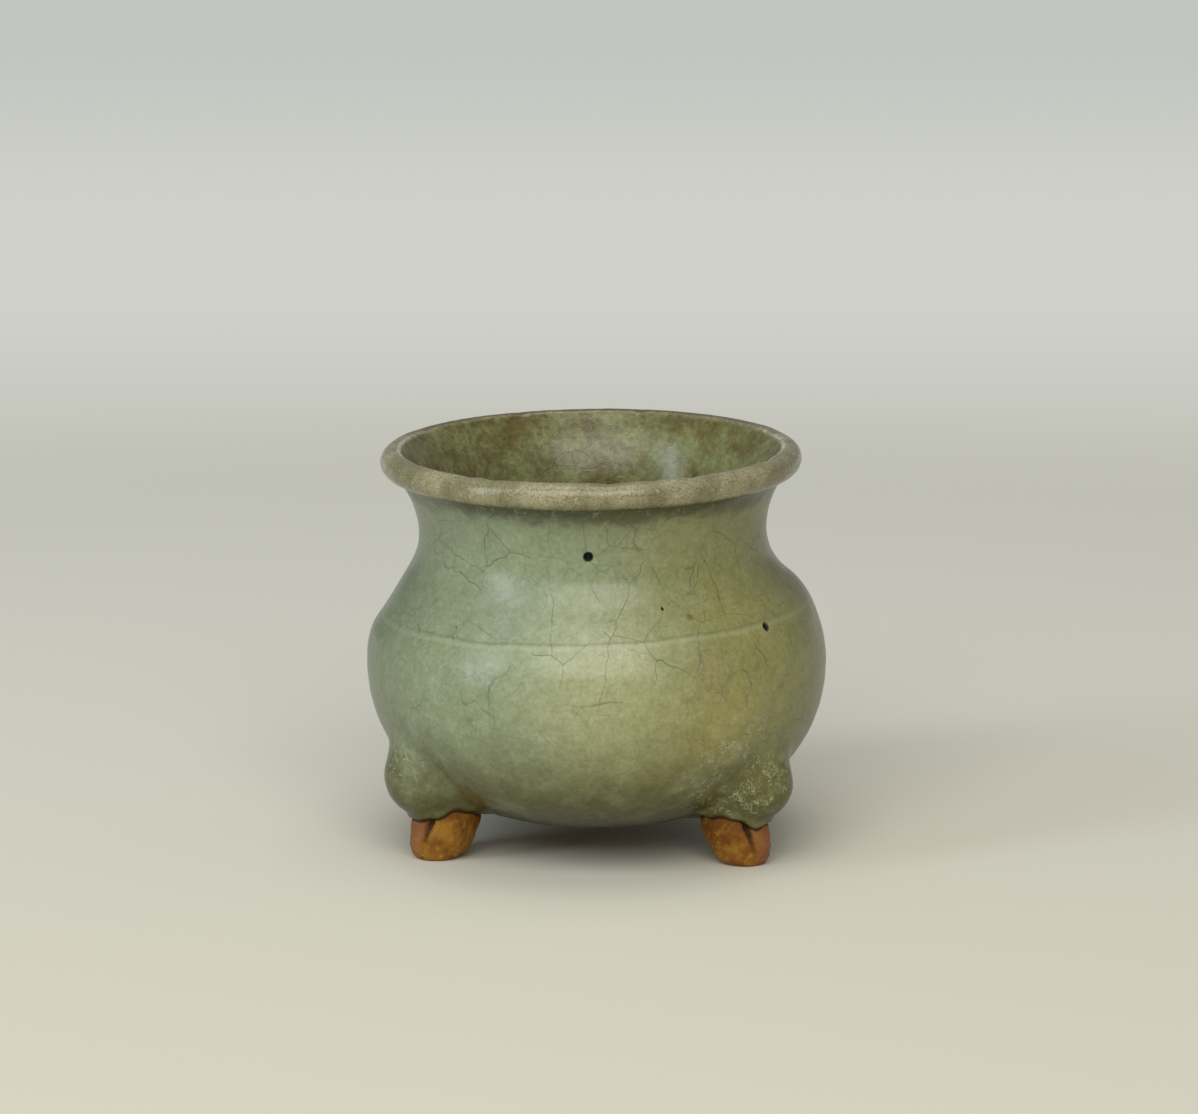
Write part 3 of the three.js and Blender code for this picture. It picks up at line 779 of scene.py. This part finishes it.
# Where the lip's finishes change: from the roll's middle circle inwards, and down from the crest.
CREST_LINE_INSET = 1.1
CREST_LINE_WIDTHS = (0.7, 0.1)
CREST_LINE_DROPS = (1.2, 0.5)
FAR_SIDE = (2.0, 26.0)
DIRT_AND_SHADE_DROPS = (3.9, 5.0)
DIRT_AND_SHADE_INSET = 1.5
HOLLOW_INSETS = (0.5, 1.3)
WORN_TOP_WIDTHS = (1.6, 0.6)


def lip_glaze():
    """Thin glaze on the roll: tan and grey, fine dark specks, a pale line along the inner crest, dirt and
    painted shade below, the hollow's stains inside, and a brown worn top on the far side."""
    material, tree, shader, place = start_finish("lip_glaze")
    axes = put_node(tree, "SeparateXYZ", {0: place}).outputs
    broad = cloud(tree, place, 9.0, 4.0, 0.6).outputs["Fac"]
    middle = cloud(tree, place, 1.2, 4.0, 0.7).outputs["Fac"]
    fine = cloud(tree, place, 0.4, 2.0, 0.7).outputs["Fac"]
    colour = mixed(tree, fading(tree, broad, 0.35, 0.65), LIP_GREY, LIP_TAN)
    colour = tinted(tree, colour, LIP_SPECK, fading(tree, fine, 0.48, 0.64), 0.62)
    colour = tinted(tree, colour, LIP_PALE, fading(tree, middle, 0.56, 0.7), 0.35)
    level = worked(tree, "MULTIPLY_ADD", axes["X"], -MOUTH_TILT, axes["Z"])
    centred = {"X": worked(tree, "ADD", axes["X"], NECK_LEAN), "Y": axes["Y"]}
    centred = put_node(tree, "CombineXYZ", centred).outputs[0]
    radius = put_node(tree, "VectorMath", {0: centred}, operation="LENGTH").outputs["Value"]
    far_side = fading(tree, axes["Y"], *FAR_SIDE)

    off_crest = worked(tree, "SUBTRACT", radius, roll_centre[0] - CREST_LINE_INSET)
    crest = fading(tree, worked(tree, "ABSOLUTE", off_crest), *CREST_LINE_WIDTHS)
    on_top = fading(tree, level, *[crest_height - drop for drop in CREST_LINE_DROPS])
    crest = worked(tree, "MULTIPLY", crest, on_top)
    crest = worked(tree, "MULTIPLY", crest, fading(tree, middle, 0.35, 0.6))
    crest = worked(tree, "MULTIPLY", crest, worked(tree, "MULTIPLY_ADD", far_side, -0.85, 1.0))
    colour = tinted(tree, colour, LIP_PALE, crest, 0.8)

    # Dirt and painted shade on the roll's underside, where it curls onto the neck.
    depth = worked(tree, "MULTIPLY_ADD", middle, 1.6, level)
    dirt_and_shade = fading(tree, depth, *[crest_height - drop for drop in DIRT_AND_SHADE_DROPS])
    outer = fading(tree, radius, roll_centre[0] - DIRT_AND_SHADE_INSET, roll_centre[0])
    colour = tinted(tree, colour, CREASE_DIRT_AND_SHADE, worked(tree, "MULTIPLY", dirt_and_shade, outer), 0.75)

    ragged = worked(tree, "MULTIPLY_ADD", middle, 0.8, radius)
    hollow = fading(tree, ragged, *[roll_centre[0] - inset for inset in HOLLOW_INSETS])
    colour = tinted(tree, colour, stained_ground(tree, place)[0], hollow)
    colour = tinted(tree, colour, LIP_PALE, crest, 0.6)
    off_top = worked(tree, "ABSOLUTE", worked(tree, "SUBTRACT", radius, roll_centre[0]))
    worn = worked(tree, "MULTIPLY", fading(tree, off_top, *WORN_TOP_WIDTHS), far_side)
    tree.links.new(tinted(tree, colour, LIP_SPECK, worn, 0.75), shader.inputs["Base Color"])
    tree.links.new(worked(tree, "MULTIPLY_ADD", middle, 0.28, 0.08), shader.inputs["Roughness"])
    height = worked(tree, "MULTIPLY_ADD", middle, 0.06, worked(tree, "MULTIPLY", fine, 0.02))
    put_relief(tree, shader, height)
    return material


WAVE_LENGTH_SHARES = (0.7, 1.6)


def clay_waves(points, size, seed, count=14):
    """Soft random lumps about size millimetres across: plane waves in all directions, added up and
    divided by the root of their number."""
    chance = np.random.default_rng(seed)
    directions = chance.normal(size=(count, 3))
    directions = directions / np.linalg.norm(directions, axis=1)[:, None]
    lengths = size * chance.uniform(*WAVE_LENGTH_SHARES, count)
    phases = chance.uniform(0, 2 * np.pi, count)
    waves = np.sin(points @ (directions / lengths[:, None]).T * 2 * np.pi + phases)
    return waves.sum(axis=1) / math.sqrt(count)


CHIP_PLACES = (186, 233, 241, 275, 288, 300, 334, 20, 75, 112, 150)
CHIP_DEPTH = 0.34
CHIP_WIDTHS = (1.05, 1.425, 1.8, 2.175)
CHIP_INSET = 1.2
CHIP_STRETCH = (1, 1, 1.4)
LIP_SETBACK = 0.06
# Lumps of the roll: height, size and the seed of their chance.
LIP_LUMPS = ((0.05, 16.0, 4), (0.02, 3.0, 5))
LIP_AROUND = 900
ROLL_POINTS = 90
LIP_SPACING = 0.2
SEAT_SPACING = 0.4
LIP_PASSES = 4
THROAT_FULLNESS = (0.4, 0.3)
ROOT_RISE = (-2.0, 1.0)


def lip_relief(points):
    """Outward relief of the roll: soft lumps, and shallow chips along the inner crest. It dies out down
    in the throat, where the lip runs into the neck."""
    relief = sum(height * clay_waves(points, size, seed) for height, size, seed in LIP_LUMPS)
    reach = roll_centre[0] - CHIP_INSET
    for index, degrees in enumerate(CHIP_PLACES):
        angle = math.radians(degrees)
        centre = np.array((reach * math.cos(angle) - NECK_LEAN, reach * math.sin(angle), crest_height))
        away = np.linalg.norm((points - centre) / CHIP_STRETCH, axis=1)
        width = CHIP_WIDTHS[index % len(CHIP_WIDTHS)]
        relief -= CHIP_DEPTH * np.exp(-(away / width) ** 2)
    rooted = soft_step(points[:, 2], throat[1] + ROOT_RISE[0], throat[1] + ROOT_RISE[1])
    outside = np.hypot(points[:, 0], points[:, 1]) > roll_centre[0]
    return (relief - LIP_SETBACK) * np.where(outside, 1, rooted)


roll_angles = np.radians(np.linspace(ROLL_START, ROLL_END, ROLL_POINTS))
roll_line = roll_centre + ROLL_RADIUS * np.column_stack([np.cos(roll_angles), np.sin(roll_angles)])
along_neck = np.array([math.sin(math.radians(FLARE_LEAN)), math.cos(math.radians(FLARE_LEAN))])
seat_outside = crease - SEAT_OVERLAP * along_neck
throat_start = np.linalg.norm(inner_flare_line - throat, axis=1) > THROAT_REACH
throat_wall = inner_flare_line[throat_start][-2:]
wall_lean = math.degrees(math.atan2(*(throat_wall[1] - throat_wall[0])))
into_wall = np.array([math.cos(math.radians(wall_lean)), -math.sin(math.radians(wall_lean))])
seat_inside = throat_wall[1] + THROAT_SINK * into_wall
throat_line = outline(seat_inside, wall_lean, roll_line[-1], THROAT_LEAN, THROAT_FULLNESS)[::-1]
lip_outside = evenly(np.vstack([seat_outside, roll_line, throat_line[1:]]), LIP_SPACING)
lip_seat = evenly(np.array([seat_inside, seat_outside]), SEAT_SPACING)
lip_profile = closed_softened(np.vstack([lip_outside, lip_seat[1:-1]]), LIP_PASSES)
lip_angles = np.arange(LIP_AROUND) / LIP_AROUND * 2 * np.pi
lip_points = turned(lip_profile, lip_angles, relief=lip_relief)[0]
lip = put_piece(
    "rolled_lip", lip_points, [ring_faces(len(lip_profile), LIP_AROUND, closed=True)], [lip_glaze()])
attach(lip, "root")
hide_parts("rim_roll")

# Knees.
# Three lumps of clay pressed on the low belly and smoothed in with a thumb until no join shows, glazed
# with the pot. The glaze stops over the toe in a thick wavy edge.
LEG_ANGLES = {"front_left": 206, "front_right": 326, "back": 86}
KNEE_CIRCLES = {"front_left": 39.4, "front_right": 40.2, "back": 39.8}
KNEE_RADII = {"front_left": 8.8, "front_right": 7.5, "back": 8.1}
KNEE_HEIGHTS = {"front_left": 17.9, "front_right": 17.3, "back": 17.6}
KNEE_WIDTH_SHARE = 1.02
KNEE_FILLET = 4.5
STUB_FILLET = 2.0
TOE_CIRCLE = 34.8
TOE_HALF_LENGTH = 7.3
TOE_HALF_WIDTH = 6.5
GLAZE_OVERHANG = 0.5
GLAZE_BEAD = 0.3
BEAD_RISE = 0.9
BEAD_REACH = 0.7
GLAZE_EDGE_HEIGHT = 9.8
GLAZE_EDGE_WAVE = 1.3
GLAZE_EDGE_LUMPS = 0.35
GLAZE_EDGE_ROUNDING = 0.7
HEART = np.array((30.0, 0.0, 24.0))
AIM = math.radians(43)
KNEE_OPENING = math.radians(66)
KNEE_SINK = 0.006
SKIN_DEPTH = 1.2
HALVINGS = 26
FURTHEST = 30.0
TIP_OPENING = math.radians(0.3)
KNEE_AROUND = 280
KNEE_RINGS = 150
BACK_RINGS = 16

belly_slopes = np.arctan2(BELLY_HEIGHT - belly_line[:, 1], belly_line[:, 0])[::-1]
belly_reaches = np.hypot(belly_line[:, 0], BELLY_HEIGHT - belly_line[:, 1])[::-1]


def blended(first, second, reach):
    """The smaller of two distances, rounded off where they are alike within reach: what is left of the
    reach, squared, over four times the reach, is taken off the smaller."""
    left = np.maximum(reach - np.abs(first - second), 0)
    return np.minimum(first, second) - left ** 2 / (4 * reach)


def outside_belly(points):
    """How far a point lies outside the belly, along the line from the middle of its widest circle."""
    across = np.hypot(points[..., 0], points[..., 1])
    fall = BELLY_HEIGHT - points[..., 2]
    return np.hypot(across, fall) - np.interp(np.arctan2(fall, across), belly_slopes, belly_reaches)


def glaze_edge(x, y):
    """Height of the glaze edge over the toe: low outside and inside, high on the flanks, with drips."""
    turn = np.arctan2(y, x - TOE_CIRCLE)
    away = np.hypot(x - TOE_CIRCLE, y) / TOE_HALF_LENGTH
    lumps = GLAZE_EDGE_LUMPS * (np.sin(5 * turn + 0.5) + 0.6 * np.sin(9 * turn + 2.0))
    return GLAZE_EDGE_HEIGHT - GLAZE_EDGE_WAVE * away * np.cos(2 * turn) + lumps * np.minimum(away, 1) ** 2


def outside_leg(points, name):
    """How far a point lies outside belly, knee and the stub over the toe, each blended into the next,
    and cut off with a rounded corner below the glaze edge."""
    x, y, z = np.moveaxis(points, -1, 0)
    radius = KNEE_RADII[name]
    from_knee = np.hypot(x - KNEE_CIRCLES[name], z - KNEE_HEIGHTS[name]) / radius
    knee = (np.hypot(from_knee, y / (radius * KNEE_WIDTH_SHARE)) - 1) * radius
    edge = glaze_edge(x, y)
    half_width = TOE_HALF_WIDTH + GLAZE_OVERHANG
    stub = np.hypot((x - TOE_CIRCLE) / (TOE_HALF_LENGTH + GLAZE_OVERHANG), y / half_width) - 1
    stub = stub * half_width - GLAZE_BEAD * np.exp(-((z - edge - BEAD_RISE) / BEAD_REACH) ** 2)
    belly = outside_belly(points)
    lump = blended(knee, stub, STUB_FILLET)
    apart = np.clip(np.abs(belly - lump) / KNEE_FILLET, 0, 1)
    skin = blended(belly, lump, KNEE_FILLET) + KNEE_SINK * apart
    return -blended(-skin, z - edge, GLAZE_EDGE_ROUNDING)


def pushed_out(directions, outside):
    """Where each ray from the knee's heart leaves the clay, found by halving the stretch it lies in."""
    low = np.zeros(directions.shape[:-1])
    high = np.full(directions.shape[:-1], FURTHEST)
    for _ in range(HALVINGS):
        middle = (low + high) / 2
        inside = outside(HEART + directions * middle[..., None]) < 0
        low = np.where(inside, middle, low)
        high = np.where(inside, high, middle)
    return HEART + directions * low[..., None]


def knee_rays(openings, turns):
    """Directions in rings round a line that looks out and down: ring by opening, place by turn."""
    aim = np.array((math.cos(AIM), 0, -math.sin(AIM)))
    aside = np.array((0, 1, 0))
    upwards = np.cross(aim, aside)
    opening = openings[:, None, None]
    turn = turns[None, :, None]
    return np.cos(opening) * aim + np.sin(opening) * (np.cos(turn) * aside + np.sin(turn) * upwards)


def stood(points, name):
    """Turns a leg from its own frame, outwards along x, to its place round the pot."""
    angle = math.radians(LEG_ANGLES[name])
    cosine = math.cos(angle)
    sine = math.sin(angle)
    x, y, z = points.T
    return hand_made(np.column_stack([x * cosine - y * sine, x * sine + y * cosine, z]))


def make_knee(name):
    """A closed skin: the outer sheet from the wide ring in to the tip, and behind it a sheet that runs
    within the pot's wall from the tip's ray out to the same wide ring."""
    turns = np.arange(KNEE_AROUND) / KNEE_AROUND * 2 * np.pi
    openings = np.linspace(KNEE_OPENING, TIP_OPENING, KNEE_RINGS)
    back_openings = np.linspace(TIP_OPENING, KNEE_OPENING, BACK_RINGS)
    front = pushed_out(knee_rays(openings, turns), lambda points: outside_leg(points, name))
    behind = pushed_out(knee_rays(back_openings, turns), lambda points: outside_belly(points) + SKIN_DEPTH)
    sheet = np.vstack([front.reshape(-1, 3), behind.reshape(-1, 3)])
    tips = np.vstack([front[-1].mean(axis=0), behind[0].mean(axis=0)])
    faces = ring_faces(KNEE_RINGS + BACK_RINGS, KNEE_AROUND, closed=True)
    tip_ring = (KNEE_RINGS - 1) * KNEE_AROUND
    back_ring = KNEE_RINGS * KNEE_AROUND
    faces = np.vstack([faces[:tip_ring], faces[back_ring:]])
    tip_cap = cap_faces(tip_ring, KNEE_AROUND, len(sheet), True)
    back_cap = cap_faces(back_ring, KNEE_AROUND, len(sheet) + 1, False)
    return put_piece(
        "knee_" + name, stood(np.vstack([sheet, tips]), name), [faces, tip_cap, back_cap], [outside_finish])


for leg_name in LEG_ANGLES:
    knee_piece = make_knee(leg_name)
    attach(knee_piece, "root")
    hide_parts("leg_" + leg_name)

# Toes.
# The tips of the legs, left bare so that the pot doesn't stick to the kiln shelf, burnt ochre to brown.
# A modelling tool pressed a cleft on each side of a middle ridge, and the sole is worn flat.
SOLE_SHARE = 0.54
TOE_ROUNDED_SHARE = 0.85
SOLE_SHIFT = 2.2
CLEFT_SHARE = 0.2
CLEFT_HALF_WIDTH = 8.0
CLEFT_ANGLE_SOLE = 25
CLEFT_ANGLE_TOP = 40
TOE_TOP_SHARE = 1.32
PIT_DEPTH = 0.5
PIT_SIZE = 2.6
PIT_LEVELS = (1.35, 2.1)
# Lumps of the toe: height and size.
TOE_LUMPS = ((0.16, 5.0), (0.07, 1.8))
TOE_AROUND = 220
SOLE_EDGE_SHARE = 0.12
SOLE_EDGE_RINGS = 14
TOE_RINGS = 74
RIDGE_EDGE = 12
BURN_AND_SHADE_REACH = 1.1


def make_toe(name, seed, finish):
    """A loft of ellipses from the flat sole up into the glaze. The size grows with a quarter circle, and
    a bell-shaped groove on each side of the outward line cuts in, drawing together towards the sole."""
    angle = np.arange(TOE_AROUND) / TOE_AROUND * 2 * np.pi
    edge_share = np.linspace(0, SOLE_EDGE_SHARE, SOLE_EDGE_RINGS)[:-1] ** 2 / SOLE_EDGE_SHARE
    share = np.concatenate([edge_share, np.linspace(SOLE_EDGE_SHARE, TOE_TOP_SHARE, TOE_RINGS)])
    angle, share = np.meshgrid(angle, share)
    rise = np.minimum(1, share / TOE_ROUNDED_SHARE)
    size = SOLE_SHARE + (1 - SOLE_SHARE) * np.sqrt(1 - (1 - rise) ** 2)
    degrees = np.degrees(np.where(angle > np.pi, angle - 2 * np.pi, angle))
    cleft_angle = CLEFT_ANGLE_SOLE + (CLEFT_ANGLE_TOP - CLEFT_ANGLE_SOLE) * share
    groove = np.exp(-((np.abs(degrees) - cleft_angle) / CLEFT_HALF_WIDTH) ** 2) * rise
    ridge = soft_step(cleft_angle - np.abs(degrees), 0, RIDGE_EDGE)
    reach = size * (1 - CLEFT_SHARE * groove)
    x = TOE_CIRCLE + SOLE_SHIFT * (1 - rise) + TOE_HALF_LENGTH * reach * np.cos(angle)
    y = TOE_HALF_WIDTH * reach * np.sin(angle)
    points = np.stack([x, y, GLAZE_EDGE_HEIGHT * share], axis=-1).reshape(-1, 3)
    lumps = np.zeros(len(points))
    for offset, (lump_height, lump_size) in enumerate(TOE_LUMPS):
        lumps = lumps + lump_height * clay_waves(points, lump_size, seed + offset)
    pits = clay_waves(points, PIT_SIZE, seed + len(TOE_LUMPS))
    lumps = lumps - PIT_DEPTH * soft_step(pits, *PIT_LEVELS)
    lumps = lumps * soft_step(points[:, 2], 0.0, 1.0)
    points[:, 0] += np.cos(angle).ravel() * lumps
    points[:, 1] += np.sin(angle).ravel() * lumps
    under = 1 - soft_step(glaze_edge(points[:, 0], points[:, 1]) - points[:, 2], 0.0, BURN_AND_SHADE_REACH)
    rings = len(share)
    sole_cap = cap_faces(0, TOE_AROUND, len(points), False)
    top_cap = cap_faces((rings - 1) * TOE_AROUND, TOE_AROUND, len(points) + 1, True)
    ends = np.array([(TOE_CIRCLE + SOLE_SHIFT, 0, 0), (TOE_CIRCLE, 0, GLAZE_EDGE_HEIGHT * TOE_TOP_SHARE)])
    marks = {"under_glaze": under, "cleft": groove.ravel(), "ridge": ridge.ravel()}
    marks = {mark: np.append(values, (0, 0)) for mark, values in marks.items()}
    return put_piece(
        "toe_of_" + name, stood(np.vstack([points, ends]), name),
        [ring_faces(rings, TOE_AROUND), sole_cap, top_cap], [finish], None, marks)


FIRST_SEED = 20
SEED_STEP = 10
toe_finish = bare_clay("burnt_clay", cleft=True)
for index, leg_name in enumerate(LEG_ANGLES):
    toe_piece = make_toe(leg_name, FIRST_SEED + SEED_STEP * index, toe_finish)
    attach(toe_piece, "root")
    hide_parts("toe_" + leg_name)

# Table and backdrop.
# One pale sheet of paper, cream near the pot and greyer far behind it, where it takes no lamp's light.
TABLE_REACH = 6.0
TABLE_CREAM = paint(220, 216, 200)
TABLE_BEHIND = paint(222, 222, 214)
PAPER_FAR = paint(195, 197, 192)
PAPER_BRIGHT = paint(208, 209, 203)
PAPER_NEAR = paint(193, 193, 182)
NEAR_REACH = 0.3
FAR_REACH = 0.55
# How far behind the pot each colour of the paper gives way to the next, in metres.
BEHIND_STRETCH = (-0.25, 0.35)
BRIGHT_STRETCH = (0.3, 0.75)
FAR_STRETCH = (0.8, 1.4)


def paper():
    """Paper that takes shadows near the pot and, further off, shows its own even colour to the eye."""
    material = bpy.data.materials.new("pale_paper")
    material.use_nodes = True
    tree = material.node_tree
    tree.nodes.remove(tree.nodes["Principled BSDF"])
    place = put_node(tree, "TexCoord").outputs["Object"]
    axes = put_node(tree, "SeparateXYZ", {0: place}).outputs
    behind = fading(tree, axes["Y"], *BEHIND_STRETCH)
    colour = mixed(tree, behind, TABLE_CREAM, TABLE_BEHIND)
    lit = put_node(tree, "BsdfDiffuse", {"Color": colour})
    far_colour = mixed(tree, fading(tree, axes["Y"], *BRIGHT_STRETCH), PAPER_NEAR, PAPER_BRIGHT)
    far_colour = tinted(tree, far_colour, PAPER_FAR, fading(tree, axes["Y"], *FAR_STRETCH))
    own = put_node(tree, "Emission", {"Color": far_colour, "Strength": 1.0})
    rays = put_node(tree, "LightPath").outputs
    seen = worked(tree, "MAXIMUM", rays["Is Camera Ray"], worked(
        tree, "MAXIMUM", rays["Is Glossy Ray"], rays["Is Transmission Ray"]))
    away = put_node(tree, "VectorMath", {0: place}, operation="LENGTH").outputs["Value"]
    share = worked(tree, "MULTIPLY", fading(tree, away, NEAR_REACH, FAR_REACH), seen)
    sheet = put_node(tree, "MixShader", {0: share, 1: lit.outputs[0], 2: own.outputs[0]})
    clear = put_node(tree, "BsdfTransparent")
    underneath = put_node(tree, "NewGeometry").outputs["Backfacing"]
    shown = put_node(tree, "MixShader", {0: underneath, 1: sheet.outputs[0], 2: clear.outputs[0]})
    tree.links.new(shown.outputs[0], tree.nodes["Material Output"].inputs["Surface"])
    return material


table_mesh = bpy.data.meshes.new("table")
table_mesh.from_pydata(
    [(-TABLE_REACH, -TABLE_REACH, 0), (TABLE_REACH, -TABLE_REACH, 0), (TABLE_REACH, TABLE_REACH, 0),
     (-TABLE_REACH, TABLE_REACH, 0)], [], [(0, 1, 2, 3)])
table_mesh.materials.append(paper())
table = bpy.data.objects.new("table", table_mesh)
bpy.context.scene.collection.objects.link(table)

# Light.
# A wide soft lamp above and in front, a weak one overhead, a tall cool window on the left, and the pale
# room.
ROOM_LIGHT = 0.3
ROOM_PALE = paint(236, 238, 240)
room = bpy.data.worlds.new("room")
bpy.context.scene.world = room
room.use_nodes = True
room_tree = room.node_tree
room_colour = room_tree.nodes["Background"]
room_colour.inputs["Color"].default_value = ROOM_PALE
room_colour.inputs["Strength"].default_value = ROOM_LIGHT
room_rays = put_node(room_tree, "LightPath").outputs
room_seen = put_node(room_tree, "Background", {"Color": PAPER_FAR, "Strength": 1.0})
room_mix = put_node(room_tree, "MixShader", {
    0: room_rays["Is Camera Ray"], 1: room_colour.outputs[0], 2: room_seen.outputs[0]})
room_tree.links.new(room_mix.outputs[0], room_tree.nodes["World Output"].inputs["Surface"])


def put_lamp(name, place, aim, width, height, watts, colour):
    """A soft rectangular lamp at a place, turned to face a point."""
    lamp = bpy.data.lights.new(name, "AREA")
    lamp.shape = "RECTANGLE"
    lamp.size = width
    lamp.size_y = height
    lamp.energy = watts
    lamp.color = colour
    holder = bpy.data.objects.new(name, lamp)
    holder.location = place
    direction = Vector(aim) - Vector(place)
    holder.rotation_euler = direction.to_track_quat("-Z", "Y").to_euler()
    bpy.context.scene.collection.objects.link(holder)


POT_MIDDLE = (0.0, 0.0, 0.045)
put_lamp("soft_lamp", (-0.1, -1.35, 1.25), POT_MIDDLE, 1.8, 1.2, 21.0, (1.0, 0.98, 0.92))
put_lamp("ceiling_lamp", (0.05, 0.0, 1.9), POT_MIDDLE, 1.2, 1.0, 7.0, (1.0, 0.96, 0.86))
put_lamp("window", (-1.1, -0.6, 0.62), POT_MIDDLE, 0.3, 0.95, 5.0, (0.82, 0.92, 1.0))

# Camera.
# A long lens at about 1.2 m, looking 12 degrees down, as the photograph was taken.
CAMERA_PLACE = (0.00052, -1.1783, 0.3115)
CAMERA_PITCH = 12.02
FOCAL_PIXELS = 5736
PHOTO_WIDTH = 1198
SENSOR_WIDTH = 36.0
lens = bpy.data.cameras.new("camera")
lens.sensor_width = SENSOR_WIDTH
lens.lens = SENSOR_WIDTH * FOCAL_PIXELS / PHOTO_WIDTH
lens.clip_start = 0.05
lens.clip_end = 50.0
camera = bpy.data.objects.new("camera", lens)
camera.location = CAMERA_PLACE
camera.rotation_euler = (math.radians(90 - CAMERA_PITCH), 0.0, 0.0)
bpy.context.scene.collection.objects.link(camera)
bpy.context.scene.camera = camera
bpy.context.scene.view_settings.view_transform = "Standard"
